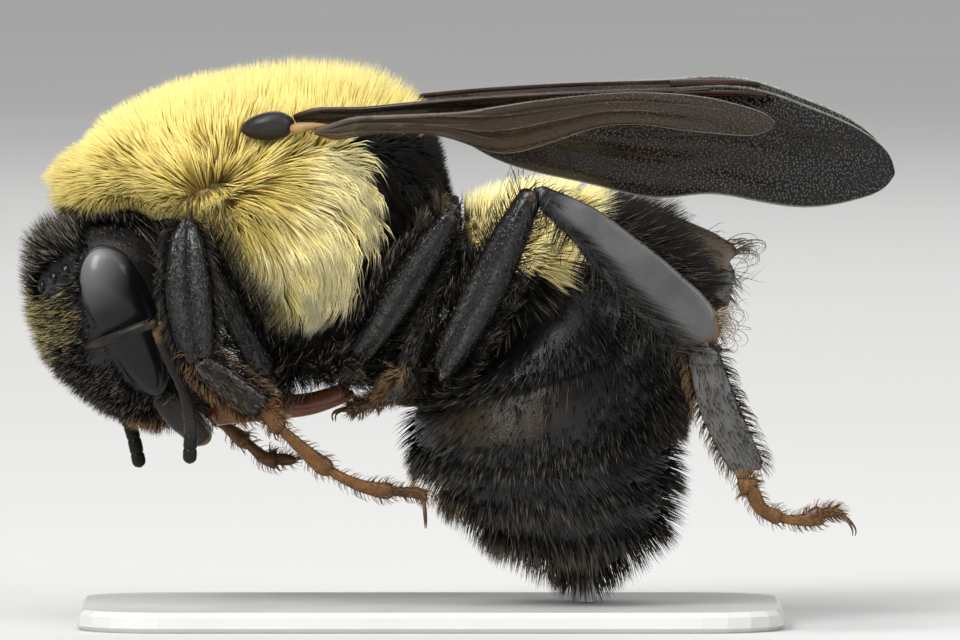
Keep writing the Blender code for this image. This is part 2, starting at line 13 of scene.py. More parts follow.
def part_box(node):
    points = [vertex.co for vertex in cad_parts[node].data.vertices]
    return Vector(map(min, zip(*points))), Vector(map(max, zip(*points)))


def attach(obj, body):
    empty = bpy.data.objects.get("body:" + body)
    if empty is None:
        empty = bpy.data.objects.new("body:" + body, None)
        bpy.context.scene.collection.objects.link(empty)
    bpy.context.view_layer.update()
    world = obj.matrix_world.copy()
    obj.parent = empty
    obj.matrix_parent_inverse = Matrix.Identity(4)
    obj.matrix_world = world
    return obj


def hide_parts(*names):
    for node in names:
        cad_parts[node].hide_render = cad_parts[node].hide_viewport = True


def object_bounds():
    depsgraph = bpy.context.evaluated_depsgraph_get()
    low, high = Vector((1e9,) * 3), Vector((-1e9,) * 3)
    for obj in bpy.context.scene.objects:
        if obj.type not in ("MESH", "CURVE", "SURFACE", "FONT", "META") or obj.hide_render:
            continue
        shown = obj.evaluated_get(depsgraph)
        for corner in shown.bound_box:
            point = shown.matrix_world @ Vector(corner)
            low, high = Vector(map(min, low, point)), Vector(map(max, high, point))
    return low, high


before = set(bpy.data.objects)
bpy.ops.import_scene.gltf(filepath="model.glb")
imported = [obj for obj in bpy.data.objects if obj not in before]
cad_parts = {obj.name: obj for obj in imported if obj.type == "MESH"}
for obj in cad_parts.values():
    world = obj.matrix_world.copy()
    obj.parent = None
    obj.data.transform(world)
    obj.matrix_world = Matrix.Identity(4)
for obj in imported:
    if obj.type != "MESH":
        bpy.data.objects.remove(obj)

MM = 0.001  # every size below is in millimetres until a mesh is made
CAD_LOW, CAD_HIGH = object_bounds()


# ---- Floor, light and camera ----
# A pale studio floor, a wide overhead softbox with two side panels, and a long
# lens level with the bee's left side. The floor is staged, not part of her.

VIEW_WIDTH = 23.04  # how much of the near flank's plane the lens takes in
VIEW_DISTANCE = 420.0
VIEW_RISE = 2.0  # degrees above level
SENSOR_WIDTH = 36.0
NEAR_SIDE = -3.0  # the plane of the near flank, which keeps its size
AIM_SHARES = (0.5285, 0.5, 0.543)  # of the box of all solids
PANELS = (  # azimuth, height, distance, size, power
    ("top_panel", 10, 70, 420, (520, 330), 0.62),
    ("left_panel", -42, 34, 400, (150, 260), 1.35),
    ("right_panel", 50, 24, 400, (140, 240), 0.6),
    ("back_panel", 172, 40, 420, (420, 160), 0.5),
)
ROOM_POWER, ROOM_SPREAD = 1.5, 50  # the spread in degrees
AIR_GLOW = 0.22
FLOOR_HALF = 4.0  # in metres

box_low, box_high = np.array(CAD_LOW) / MM, np.array(CAD_HIGH) / MM
aim = box_low + (box_high - box_low) * AIM_SHARES
aim[1] = NEAR_SIDE


def new_object(name, data):
    made = bpy.data.objects.new(name, data)
    bpy.context.scene.collection.objects.link(made)
    return made


def stand_off(thing, azimuth, height, distance):
    """Sets a lens or lamp off from the bee, turned to face her."""
    a, h = math.radians(azimuth), math.radians(height)
    away = Vector((math.sin(a) * math.cos(h), -math.cos(a) * math.cos(h), math.sin(h)))
    thing.location = (Vector(aim) + away * distance) * MM
    thing.rotation_euler = away.to_track_quat("Z", "Y").to_euler()


lens = bpy.data.cameras.new("portrait_lens")
lens.sensor_width = SENSOR_WIDTH
lens.lens = SENSOR_WIDTH * VIEW_DISTANCE / VIEW_WIDTH
lens.clip_start, lens.clip_end = 0.01, 20.0
camera = new_object("portrait_camera", lens)
stand_off(camera, 0, VIEW_RISE, VIEW_DISTANCE)
bpy.context.scene.camera = camera

for name, azimuth, height, distance, size, power in PANELS:
    lamp = bpy.data.lights.new(name, "AREA")
    lamp.shape = "RECTANGLE"
    lamp.size, lamp.size_y = size[0] * MM, size[1] * MM
    lamp.energy = power
    stand_off(new_object(name, lamp), azimuth, height, distance)

day = bpy.data.lights.new("room_light", "SUN")
day.energy, day.angle = ROOM_POWER, math.radians(ROOM_SPREAD)
room_light = new_object("room_light", day)
room_light.rotation_euler = Vector((-0.45, -0.55, 1)).to_track_quat("Z", "Y").to_euler()

world = bpy.data.worlds.new("studio_air")
world.use_nodes = True
air = world.node_tree.nodes["Background"].inputs
air["Color"].default_value = (0.95, 0.97, 1, 1)
air["Strength"].default_value = AIR_GLOW
bpy.context.scene.world = world
bpy.context.scene.view_settings.view_transform = "Standard"


def new_finish(name, colour, roughness, **sockets):
    """A material with its own constants set on the shader's sockets."""
    made = bpy.data.materials.new(name)
    made.use_nodes = True
    shader = made.node_tree.nodes["Principled BSDF"]
    shader.inputs["Base Color"].default_value = (*colour, 1)
    shader.inputs["Roughness"].default_value = roughness
    for socket, value in sockets.items():
        shader.inputs[socket.replace("_", " ")].default_value = value
    return made


def add_node(tree, kind, inputs, **settings):
    """A shader node with its settings, and a value or a link for each input."""
    made = tree.nodes.new("ShaderNode" + kind)
    for setting, value in settings.items():
        setattr(made, setting, value)
    for socket, value in inputs.items():
        if isinstance(value, bpy.types.NodeSocket):
            tree.links.new(value, made.inputs[socket])
        else:
            value = (*value, 1) if isinstance(value, tuple) else value
            made.inputs[socket].default_value = value
    return made


def object_place(tree):
    return add_node(tree, "TexCoord", {}).outputs["Object"]


def noise(tree, scale, detail=2.0, roughness=0.5, place=None):
    place = place or object_place(tree)
    inputs = {"Scale": scale, "Detail": detail, "Roughness": roughness, "Vector": place}
    return add_node(tree, "TexNoise", inputs).outputs["Fac"]


def mix_colours(tree, factor, a, b):
    return add_node(tree, "Mix", {0: factor, 6: a, 7: b}, data_type="RGBA").outputs[2]


def drive(made, socket, value):
    """Links a value to a socket of the finish's shader."""
    tree = made.node_tree
    tree.links.new(value, tree.nodes["Principled BSDF"].inputs[socket])


paper = new_finish("floor_paper", (0.58, 0.575, 0.565), 0.9)
fibres = noise(paper.node_tree, 18)
tone = mix_colours(paper.node_tree, fibres, (0.57, 0.565, 0.555), (0.61, 0.605, 0.595))
drive(paper, "Base Color", tone)

floor_mesh = bpy.data.meshes.new("studio_floor")
square = [(x * FLOOR_HALF, y * FLOOR_HALF, 0) for x, y in ((-1, -1), (1, -1), (1, 1), (-1, 1))]
floor_mesh.from_pydata(square, [], [(0, 1, 2, 3)])
floor_mesh.materials.append(paper)
studio_floor = new_object("studio_floor", floor_mesh)


# ---- Display stand ----
# The plate is sheet steel with a satin lacquer, the rod is drawn steel wire set
# in it. Both are the modelled solids, so only their finish is made here.


def ramp(tree, factor, *stops):
    """A colour ramp: stops are (position, grey or colour)."""
    made = add_node(tree, "ValToRGB", {0: factor})
    points = made.color_ramp.elements
    while len(points) < len(stops):
        points.new(0.5)
    for point, (at, value) in zip(points, stops):
        point.position = at
        point.color = (*value, 1) if isinstance(value, tuple) else (value, value, value, 1)
    return made.outputs[0]


def set_bump(made, height, strength, distance):
    inputs = {"Strength": strength, "Distance": distance * MM, "Height": height}
    drive(made, "Normal", add_node(made.node_tree, "Bump", inputs).outputs[0])


def make_lacquer():
    made = new_finish("stand_lacquer", (0.62, 0.61, 0.58), 0.42, Coat_Weight=0.25)
    tree = made.node_tree
    tone = mix_colours(tree, noise(tree, 300), (0.57, 0.56, 0.53), (0.66, 0.65, 0.62))
    drive(made, "Base Color", tone)
    drive(made, "Roughness", ramp(tree, noise(tree, 700), (0.3, 0.36), (0.75, 0.5)))
    set_bump(made, noise(tree, 9000, 3), 0.25, 0.01)
    return made


def make_wire_steel():
    made = new_finish("drawn_wire", (0.55, 0.55, 0.56), 0.3, Metallic=1.0)
    tree = made.node_tree
    stretch = add_node(tree, "Mapping", {"Vector": object_place(tree), "Scale": [1, 1, 0.04]})
    streaks = noise(tree, 16000, 2, place=stretch.outputs[0])
    drive(made, "Roughness", ramp(tree, streaks, (0.3, 0.22), (0.7, 0.42)))
    drive(made, "Base Color", mix_colours(tree, streaks, (0.48, 0.48, 0.5), (0.62, 0.62, 0.63)))
    return made


for node, finish in (("stand_base", make_lacquer()), ("stand_rod", make_wire_steel())):
    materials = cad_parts[node].data.materials
    materials.clear()
    materials.append(finish)


# ---- Body shell ----
# One horny shell under the coat: head, neck, thorax, waist and the six rings of the
# abdomen, whose rear edges overlap. It lies in from the solids by the coat's depth,
# and its rows are measured from the low corner of each solid's box.


def smooth_rows(rows, steps):
    """More rows between the given ones, on a Catmull-Rom curve."""
    rows = np.asarray(rows, float)
    padded = np.vstack([rows[:1], rows, rows[-1:]])
    made = []
    for i in range(1, len(padded) - 2):
        a, b, c, d = padded[i - 1 : i + 3]
        for t in np.arange(steps) / steps:
            square = (2 * a - 5 * b + 4 * c - d) * t * t
            made.append(0.5 * (2 * b + (c - a) * t + square + (3 * b - a - 3 * c + d) * t**3))
    made.append(rows[-1])
    return np.array(made)


def lap_angles(sides):
    return 2 * np.pi * np.arange(sides) / sides


def full_oval(angle, fullness):
    """Cosine and sine of an oval that is fuller than an ellipse beyond 2."""
    return [np.sign(q) * np.abs(q) ** (2 / fullness) for q in (np.cos(angle), np.sin(angle))]


def oval_rings(rows, sides, fullness=2.2, bow=0.0):
    """A grid of points, ring by ring. A row is the outer point x, z, the inner
    point x, z and the half width; bow pushes the flanks tailwards."""
    rows = np.asarray(rows, float)
    angle = lap_angles(sides)
    along, across = full_oval(angle, fullness)
    upper = np.stack([rows[:, 0], 0 * rows[:, 0], rows[:, 1]], 1)
    lower = np.stack([rows[:, 2], 0 * rows[:, 0], rows[:, 3]], 1)
    middle, reach = (upper + lower) / 2, (upper - lower) / 2
    tail = np.stack([reach[:, 2], 0 * reach[:, 0], -reach[:, 0]], 1)
    tail /= np.linalg.norm(tail, axis=1, keepdims=True) + 1e-9
    grid = middle[:, None] + reach[:, None] * along[None, :, None]
    grid[:, :, 1] += rows[:, 4:5] * across[None]
    return grid + tail[:, None] * (bow * np.sin(angle) * np.sin(angle))[None, :, None]


def grid_faces(rings, sides, first=0):
    """Quads between rings, and a fan over each end to two extra points."""
    r, k = np.meshgrid(np.arange(rings - 1), np.arange(sides), indexing="ij")
    n = (k + 1) % sides
    quads = np.stack(
        [r * sides + k, r * sides + n, (r + 1) * sides + n, (r + 1) * sides + k], -1
    ).reshape(-1, 4)
    start, end, last = rings * sides, rings * sides + 1, (rings - 1) * sides
    fans = [(start, (j + 1) % sides, j) for j in range(sides)]
    fans += [(end, last + j, last + (j + 1) % sides) for j in range(sides)]
    return [tuple(int(i) + first for i in f) for f in [*quads, *fans]]


def closed_points(grid, dome=0.25):
    """The grid's points and the two that close its ends."""
    ends = []
    for ring, inner in ((grid[0], grid[1]), (grid[-1], grid[-2])):
        middle = ring.mean(0)
        out = middle - inner.mean(0)
        out /= np.linalg.norm(out) + 1e-9
        ends.append(middle + out * dome * np.linalg.norm(ring - middle, axis=1).mean())
    return np.vstack([grid.reshape(-1, 3), ends])


def shell_mesh(name, grids, dome=0.25):
    """One mesh of several closed ringed shells."""
    points, faces, first = [], [], 0
    for grid in grids:
        points.append(closed_points(grid, dome))
        faces += grid_faces(len(grid), grid.shape[1], first)
        first += len(points[-1])
    mesh = bpy.data.meshes.new(name)
    mesh.from_pydata((np.vstack(points) * MM).tolist(), [], faces)
    shape = bmesh.new()
    shape.from_mesh(mesh)
    bmesh.ops.recalc_face_normals(shape, faces=shape.faces)
    shape.to_mesh(mesh)
    shape.free()
    mesh.shade_smooth()
    return mesh


def corner(*nodes):
    """The lowest corner of the nodes' common box, in millimetres."""
    return np.min([np.array(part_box(n)[0]) for n in nodes], axis=0) / MM


def from_corner(rows, *nodes):
    low = corner(*nodes)
    return np.asarray(rows, float) + np.array([low[0], low[2], low[0], low[2], 0])


THORAX_ROWS = [
    (0.7, 4.75, 0.75, 4.5, 0.35),
    (1.05, 5.05, 1.05, 4.3, 1.0),
    (1.7, 5.55, 1.7, 4.15, 1.8),
    (2.6, 6.0, 2.6, 3.95, 2.4),
    (3.7, 6.3, 3.7, 3.2, 2.8),
    (4.76, 6.45, 4.76, 2.0, 3.05),
    (5.76, 6.5, 5.76, 1.2, 3.2),
    (6.76, 6.5, 6.76, 0.8, 3.15),
    (7.76, 6.35, 7.76, 0.7, 2.9),
    (8.56, 6.0, 8.56, 0.8, 2.5),
    (9.16, 5.4, 9.16, 1.2, 2.0),
    (9.66, 4.5, 9.66, 1.9, 1.4),
    (9.96, 3.7, 9.96, 2.6, 0.7),
]
HEAD_ROWS = [
    (0.95, 5.0, 1.65, 5.3, 0.75),
    (0.62, 4.55, 2.45, 5.42, 1.75),
    (0.5, 3.8, 3.5, 5.28, 2.4),
    (0.6, 2.95, 4.05, 4.62, 2.62),
    (0.95, 2.08, 4.2, 3.6, 2.62),
    (1.56, 1.46, 4.26, 2.6, 2.42),
    (2.2, 1.0, 4.3, 1.7, 1.95),
    (2.86, 0.65, 4.3, 0.95, 1.3),
    (3.36, 0.5, 4.05, 0.6, 0.7),
]
ABDOMEN_NODES = ["abdomen_" + str(n) for n in range(1, 7)]
ABDOMEN_ROWS = [  # at each segment's front edge and middle, then the tip
    (1.8, 9.1, 1.75, 7.5, 1.3),
    (3.05, 9.35, 2.05, 6.75, 2.45),
    (4.58, 9.3, 1.95, 5.85, 3.1),
    (6.3, 8.5, 1.48, 5.35, 3.6),
    (7.58, 7.05, 0.53, 4.6, 3.8),
    (7.23, 5.55, 0.58, 3.8, 3.82),
    (6.78, 4.05, 0.78, 3.1, 3.7),
    (6.73, 3.35, 1.13, 2.7, 3.5),
    (6.68, 2.7, 1.53, 2.3, 3.25),
    (6.58, 2.15, 2.08, 1.9, 2.85),
    (6.38, 1.65, 2.68, 1.5, 2.35),
    (5.78, 1.1, 3.58, 1.0, 1.4),
    (5.18, 0.8, 4.18, 0.75, 0.5),
]
ABDOMEN_BOW = 0.35
LIP = 0.07  # how far a ring's rear edge stands out over the next, of its radius
RINGS_EACH = 12  # rings of points in one segment

thorax_grid = oval_rings(smooth_rows(from_corner(THORAX_ROWS, "thorax"), 4), 72)
head_grid = oval_rings(smooth_rows(from_corner(HEAD_ROWS, "head"), 6), 72, 2.3)


def abdomen_rings():
    """The abdomen's grid, and for each ring its segment and place within it."""
    rows = smooth_rows(from_corner(ABDOMEN_ROWS, *ABDOMEN_NODES), RINGS_EACH // 2)
    made, segment, within = [], [], []
    for number in range(6):
        for step in range(RINGS_EACH + 1):
            t = step / RINGS_EACH
            row = rows[number * RINGS_EACH + step].copy()
            scale = 1 - LIP * (1 - min(1, t * 1.5) ** 0.6) if number else 1.0
            centre = (row[:2] + row[2:4]) / 2
            row[:2] = centre + (row[:2] - centre) * scale
            row[2:4] = centre + (row[2:4] - centre) * scale
            row[4] *= scale
            made.append(row)
            segment.append(number)
            within.append(t)
    return oval_rings(made, 84, 2.1, ABDOMEN_BOW), np.array(segment), np.array(within)


abdomen_grid, ring_segment, ring_within = abdomen_rings()


def stem(a, b, width_a, width_b, height):
    """A short stem, such as the neck, from one point to another in the midline."""
    along = (b - a) / np.linalg.norm(b - a)
    up = np.array([-along[1], along[0]]) * height
    line = zip(np.linspace(a, b, 4), np.linspace(width_a, width_b, 4))
    return oval_rings([(*(p + up), *(p - up), w) for p, w in line], 32, 2.0)


head_low, thorax_low, abdomen_low = corner("head"), corner("thorax"), corner(*ABDOMEN_NODES)
neck_ends = head_low[[0, 2]] + (3.0, 4.3), thorax_low[[0, 2]] + (4.2, 4.4)
waist_ends = thorax_low[[0, 2]] + (9.3, 3.1), abdomen_low[[0, 2]] + (2.6, 8.1)
neck_grid = stem(*neck_ends, 0.9, 1.1, 0.75)
waist_grid = stem(*waist_ends, 0.6, 0.9, 0.55)


def joined_shell():
    """The shells cut together into one closed skin."""
    main = new_object("body_shell", shell_mesh("body_shell", [thorax_grid]))
    for grid in (head_grid, abdomen_grid, neck_grid, waist_grid):
        other = new_object("joining", shell_mesh("joining", [grid]))
        join = main.modifiers.new("join", "BOOLEAN")
        join.operation = "UNION"
        join.object = other
        bpy.context.view_layer.update()
        graph = bpy.context.evaluated_depsgraph_get()
        mesh = bpy.data.meshes.new_from_object(main.evaluated_get(graph))
        main.modifiers.remove(join)
        bpy.data.objects.remove(other, do_unlink=True)
        main.data = mesh
    main.data.name = "body_shell"
    main.data.shade_smooth()
    return main


def math_node(tree, operation, a, b=0.0):
    return add_node(tree, "Math", {0: a, 1: b}, operation=operation).outputs[0]


def times(tree, a, b):
    return math_node(tree, "MULTIPLY", a, b)


def plus(tree, a, b):
    return math_node(tree, "ADD", a, b)


def less(tree, a, b):
    return math_node(tree, "SUBTRACT", a, b)


def read(tree, label):
    """An attribute of the mesh, as a number."""
    return add_node(tree, "Attribute", {}, attribute_name=label).outputs["Fac"]


def base_tone(made):
    """What the finish's base colour is so far."""
    shader = made.node_tree.nodes["Principled BSDF"]
    return shader.inputs["Base Color"].links[0].from_socket


def new_group(name, ins, outs):
    """An empty shader group, its inputs to read and its outputs to feed."""
    group = bpy.data.node_groups.new(name, "ShaderNodeTree")
    for way, sockets in (("INPUT", ins), ("OUTPUT", outs)):
        for label, kind in sockets:
            group.interface.new_socket(label, in_out=way, socket_type="NodeSocket" + kind)
    ends = group.nodes.new("NodeGroupInput"), group.nodes.new("NodeGroupOutput")
    return group, ends[0].outputs, ends[1].inputs


def make_pitted_group():
    """Shared by the shells: fine punctures and a soft unevenness."""
    group, ins, outs = new_group(
        "pitted_horn", (("Pits per metre", "Float"), ("Pit size", "Float")),
        (("Height", "Float"), ("Cloud", "Float")),
    )
    place = object_place(group)
    cells = add_node(group, "TexVoronoi", {"Vector": place, "Scale": ins[0]})
    pit = math_node(group, "MAXIMUM", less(group, ins[1], cells.outputs["Distance"]), 0.0)
    cloud = noise(group, 900, 4, 0.6, place)
    group.links.new(less(group, times(group, cloud, 0.5), pit), outs[0])
    group.links.new(cloud, outs[1])
    return group


PITTED = make_pitted_group()
PIT_SIZE = 0.45  # of the way between two pits
PIT_DEPTH = 0.025


def horn_finish(name, dark, light, roughness, pits, strength=0.5, coat=0.0, gloss=0.3):
    """Dark horny shell: pitted, uneven in gloss and colour."""
    made = new_finish(name, dark, roughness, Coat_Weight=coat, Specular_IOR_Level=gloss)
    tree = made.node_tree
    grain = tree.nodes.new("ShaderNodeGroup")
    grain.node_tree = PITTED
    grain.inputs[0].default_value = pits
    grain.inputs[1].default_value = PIT_SIZE
    cloud = grain.outputs["Cloud"]
    tone = mix_colours(tree, ramp(tree, cloud, (0.35, 0.0), (0.7, 1.0)), dark, light)
    drive(made, "Base Color", tone)
    rough = ramp(tree, cloud, (0.3, roughness - 0.07), (0.75, roughness + 0.1))
    drive(made, "Roughness", rough)
    set_bump(made, grain.outputs["Height"], strength, PIT_DEPTH)
    return made


def shell_finish():
    """Black shell, brown-yellow where the pile over it is yellow, with a painted
    brown-gold sheen on the lower flank of the third ring."""
    made = horn_finish("body_horn", (0.004, 0.004, 0.005), (0.012, 0.011, 0.012), 0.33, 15000, 0.6)
    tree, tone = made.node_tree, base_tone(made)
    # Mixes in the painted brown-gold sheen, then the brown-yellow under the yellow pile.
    for label, colour in (("painted_sheen", (0.03, 0.021, 0.01)), ("yellow", (0.5, 0.38, 0.1))):
        tone = mix_colours(tree, times(tree, read(tree, label), 0.9), tone, colour)
    drive(made, "Base Color", tone)
    return made


body_shell = joined_shell()
body_shell.data.materials.clear()
body_shell.data.materials.append(shell_finish())
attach(body_shell, "root")
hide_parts("head", "thorax", *ABDOMEN_NODES)


# ---- Thorax pile ----
# Dense yellow pile of thin closed hairs with three sides, which reach for the
# surface of the solid above them. On the back it stands up like velvet; on the
# flank it fans out from the shoulder in wavy locks. Waist and underside are black.

THORAX_HAIRS = 64_000
THORAX_RADIUS = 0.0175
THORAX_LONGEST, LOCK_LONGER = 1.9, 0.7  # on the back, and how much more in the fan
TUFTS, LOCKS, STRANDS = 9000, 800, 3000  # how many on the back, in the fan, within locks
PIECE_LIMIT = 190_000  # triangles in one piece of coat
PATCH = 0.003  # size of a hair's patch on the coat's map
BENDS = {2: (0.0, 0.5), 3: (0.0, 0.36, 0.7)}  # where the rings of a hair lie along it

rng = np.random.default_rng(1758)


def unit(v):
    return v / (np.linalg.norm(v, axis=-1, keepdims=True) + 1e-12)


def past(value, start, width):
    """0 before the start, 1 beyond the width after it; a negative width turns it."""
    return np.clip((value - start) / width, 0, 1)


def x_z(places, low):
    """How far back and how high places lie from a corner."""
    return places[..., 0] - low[0], places[..., 2] - low[2]


def lap_cos(around):
    """1 along the upper edge of a ringed grid, -1 along the lower edge."""
    return np.cos(around * 2 * np.pi)


def plant(grid, count, weight):
    """Random roots on a ringed grid: places, normals, tailward directions, and the
    place on the unrolled shell (around, along)."""
    closed = np.concatenate([grid, grid[:, :1]], 1)
    a, b = closed[:-1, :-1], closed[1:, :-1]
    c, d = closed[1:, 1:], closed[:-1, 1:]
    area = 0.5 * np.linalg.norm(np.cross(c - a, d - b), axis=-1)
    cells = area.shape
    r, k = np.meshgrid(np.arange(cells[0]), np.arange(cells[1]), indexing="ij")
    area = area * weight((a + b + c + d) / 4, r / cells[0], k / cells[1])
    chance = area.ravel() / area.sum()
    pick = rng.choice(len(chance), count, p=chance)
    r, k = np.unravel_index(pick, cells)
    f, g = rng.random((2, count, 1))
    near, far = a[r, k] * (1 - g) + d[r, k] * g, b[r, k] * (1 - g) + c[r, k] * g
    place = near * (1 - f) + far * f
    tail = unit(far - near)
    around = unit((d[r, k] - a[r, k]) * (1 - f) + (c[r, k] - b[r, k]) * f)
    normal = unit(np.cross(around, tail))
    outward = place - closed[r, :-1].mean(1)
    flip = np.sign((normal * outward).sum(1, keepdims=True))
    flip[flip == 0] = 1
    spot = np.stack([(k + g[:, 0]) / cells[1], (r + f[:, 0]) / cells[0]], 1)
    return place, normal * flip, tail, spot


def solid_of(*nodes):
    """The nodes' solids, for measuring how far a hair may reach."""
    points, faces = [], []
    for node in nodes:
        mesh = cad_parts[node].data
        mesh.calc_loop_triangles()
        first = len(points)
        points += [v.co / MM for v in mesh.vertices]
        faces += [[first + i for i in t.vertices] for t in mesh.loop_triangles]
    return BVHTree.FromPolygons(points, faces)


def reach(solid, places, ways, least, most):
    """How far each hair may go before it leaves the solid."""
    found = np.ones(len(places)) * least
    for i, (place, way) in enumerate(zip(places.tolist(), ways.tolist())):
        hit = solid.ray_cast(Vector(place), Vector(way), most * 1.5)
        if hit[0] is not None:
            found[i] = hit[3]
    return np.clip(found, least, most)


def wander(places, size, seed):
    """A smooth random direction for each place, alike for near neighbours."""
    own = np.random.default_rng(seed)
    total = np.zeros_like(places)
    for _ in range(6):
        wave = own.normal(size=(3, 3)) / size * 2.2
        phase = own.random(3) * 6.28
        total += np.sin(places @ wave.T + phase)
    return total / 6**0.5


def nearest(points):
    """A search tree of points."""
    tree = KDTree(len(points))
    for i, point in enumerate(points.tolist()):
        tree.insert(point, i)
    tree.balance()
    return tree


def gather(roots, tips, count, pull, seed):
    """Draws the tips of neighbouring hairs together into locks."""
    own = np.random.default_rng(seed)
    chosen = own.choice(len(roots), max(2, min(count, len(roots))), replace=False)
    tree = nearest(roots[chosen])
    lock = np.array([chosen[tree.find(p)[1]] for p in roots.tolist()])
    target = tips[lock] + (roots - roots[lock]) * 0.25
    return tips + (target - tips) * pull, own.random(len(roots))[lock]


def store_values(mesh, label, values):
    """Keeps a number for each point of a mesh, for its finish to read."""
    store = mesh.attributes.new(label, "FLOAT", "POINT")
    store.data.foreach_set("value", np.asarray(values).astype(np.float32))


def grow(name, roots, tips, bows, radii, spots, tones, finish, slot, rings=2):
    """Builds the hairs as meshes of closed spikes, split to stay small."""
    steps = np.array(BENDS[rings])
    each = 3 * rings + 1
    tris = 6 * (rings - 1) + 4
    pieces = -(-len(roots) // (PIECE_LIMIT // tris))
    order = np.argsort(spots[:, 1] + 1e-3 * spots[:, 0])
    for number, index in enumerate(np.array_split(order, pieces)):
        root, tip, bow = roots[index], tips[index], bows[index]
        n = len(index)
        t = steps[None, :, None]
        path = root[:, None] * (1 - t) + tip[:, None] * t + bow[:, None] * 4 * t * (1 - t)
        way = unit(tip - root)
        helper = np.where(np.abs(way[:, 1:2]) > 0.8, [[1.0, 0, 0]], [[0, 1.0, 0]])
        across = unit(np.cross(way, helper))
        other = np.cross(way, across)
        points = np.empty((n, each, 3))
        width = radii[index][:, None] * (1 - steps[None] ** 1.5 * 0.75)
        for k in range(3):
            angle = 2 * math.pi * k / 3
            side = across * math.cos(angle) + other * math.sin(angle)
            points[:, k:-1:3] = path + side[:, None] * width[:, :, None]
        points[:, -1] = tip
        faces = []
        for ring in range(rings - 1):
            for k in range(3):
                a, b = ring * 3 + k, ring * 3 + (k + 1) % 3
                faces += [(a, b, b + 3), (a, b + 3, a + 3)]
        last = 3 * (rings - 1)
        faces += [(last + k, last + (k + 1) % 3, each - 1) for k in range(3)]
        faces.append((2, 1, 0))
        faces = np.array(faces)[None] + (np.arange(n) * each)[:, None, None]
        faces = faces.reshape(-1, 3)
        mesh = bpy.data.meshes.new(name)
        mesh.vertices.add(n * each)
        mesh.vertices.foreach_set("co", (points.reshape(-1) * MM).astype(np.float32))
        mesh.loops.add(faces.size)
        mesh.loops.foreach_set("vertex_index", faces.ravel().astype(np.int32))
        mesh.polygons.add(len(faces))
        mesh.polygons.foreach_set("loop_start", np.arange(0, faces.size, 3, dtype=np.int32))
        mesh.update(calc_edges=True)
        along = np.append(np.repeat(steps, 3), 1.0)
        patch = np.stack([np.append(np.tile([0, 0.5, 1.0], rings), 0.5), along], 1) - 0.5
        spread = spots[index][:, None] * (1 - PATCH) + PATCH / 2 + patch[None] * PATCH
        map_layer = mesh.uv_layers.new(name="OFBake")
        corners = spread.reshape(-1, 2)[faces.ravel()]
        map_layer.data.foreach_set("uv", corners.ravel().astype(np.float32))
        store_values(mesh, "along", np.tile(along, n))
        store_values(mesh, "tone", np.repeat(tones[index], each))
        mesh.shade_smooth()
        mesh.materials.append(finish)
        piece = new_object(name + "_" + str(number + 1), mesh)
        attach(piece, "root")


def grow_groups(hairs, groups):
    """Grows each group of the planted hairs as coat pieces of its own."""
    for mask, label, *looks in groups:
        grow(label, *[values[mask] for values in hairs], *looks)


def make_hair_group():
    """Shared by the coats: root to tip colour, and a tone that each lock has."""
    group, ins, outs = new_group(
        "hair_shade",
        (("Root", "Color"), ("Middle", "Color"), ("Tip", "Color"), ("Contrast", "Float")),
        (("Colour", "Color"),),
    )
    along, tone = read(group, "along"), read(group, "tone")
    lower = ramp(group, along, (0.05, 0.0), (0.45, 1.0))
    upper = ramp(group, along, (0.45, 0.0), (0.95, 1.0))
    colour = mix_colours(group, upper, mix_colours(group, lower, ins[0], ins[1]), ins[2])
    shade = plus(group, times(group, tone, 0.7), noise(group, 1400, 3, 0.6))
    shade = plus(group, times(group, less(group, shade, 0.85), ins[3]), 1.0)
    scale = add_node(group, "VectorMath", {0: colour, "Scale": shade}, operation="SCALE")
    group.links.new(scale.outputs[0], outs[0])
    return group


HAIR_SHADE = make_hair_group()


def hair_finish(name, root, middle, tip, contrast, roughness, gloss=0.2, sheen=0.0):
    made = new_finish(name, middle, roughness, Sheen_Weight=sheen, Specular_IOR_Level=gloss)
    tree = made.node_tree
    shade = tree.nodes.new("ShaderNodeGroup")
    shade.node_tree = HAIR_SHADE
    for socket, value in zip(shade.inputs, ((*root, 1), (*middle, 1), (*tip, 1), contrast)):
        socket.default_value = value
    drive(made, "Base Color", shade.outputs[0])
    rough = ramp(tree, noise(tree, 2500, 2), (0.3, roughness - 0.08), (0.7, roughness + 0.1))
    drive(made, "Roughness", rough)
    return made


YELLOW_PILE = hair_finish(
    "yellow_pile", (0.57, 0.41, 0.1), (0.77, 0.61, 0.155), (0.84, 0.71, 0.265), 0.35, 0.6, 0.3,
    0.08,
)
# Yellow locks with dark roots: the dark roots are painted shade in the gaps between the locks.
LOCK_PILE = hair_finish(
    "yellow_locks", (0.17, 0.11, 0.03), (0.84, 0.7, 0.25), (1.0, 0.93, 0.56), 0.8, 0.5, 0.3, 0.15
)
BLACK_PILE = hair_finish(
    "black_pile", (0.003, 0.003, 0.003), (0.006, 0.0055, 0.005), (0.02, 0.017, 0.014), 0.8, 0.45
)
# Black hairs with pale brown-grey tips: partly the hairs' own brown, partly painted highlights on
# black hair.
BROWN_GLINT_PILE = hair_finish(
    "brown_glint_pile", (0.003, 0.003, 0.0025), (0.028, 0.023, 0.017), (0.3, 0.25, 0.18), 0.8, 0.42
)

thorax_solid = solid_of("thorax")
SWIRL = thorax_low[[0, 2]] + np.array([[3.5, 4.4], [4.35, 4.75]])  # the fan's parting
SWIRL_REACH = 1.0  # within this distance of it the hairs still stand up
low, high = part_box("tegula_left")
CAP_PLACE = (np.array(low) + np.array(high))[[0, 2]] / 2 / MM  # the cap over the wing's root


def turned(v, angle):
    """Vectors of the x-z plane turned clockwise as seen from the left side."""
    c, s = np.cos(angle)[:, None], np.sin(angle)[:, None]
    x, z = v[:, :1], v[:, 2:]
    return np.concatenate([x * c + z * s, 0 * x, z * c - x * s], 1)


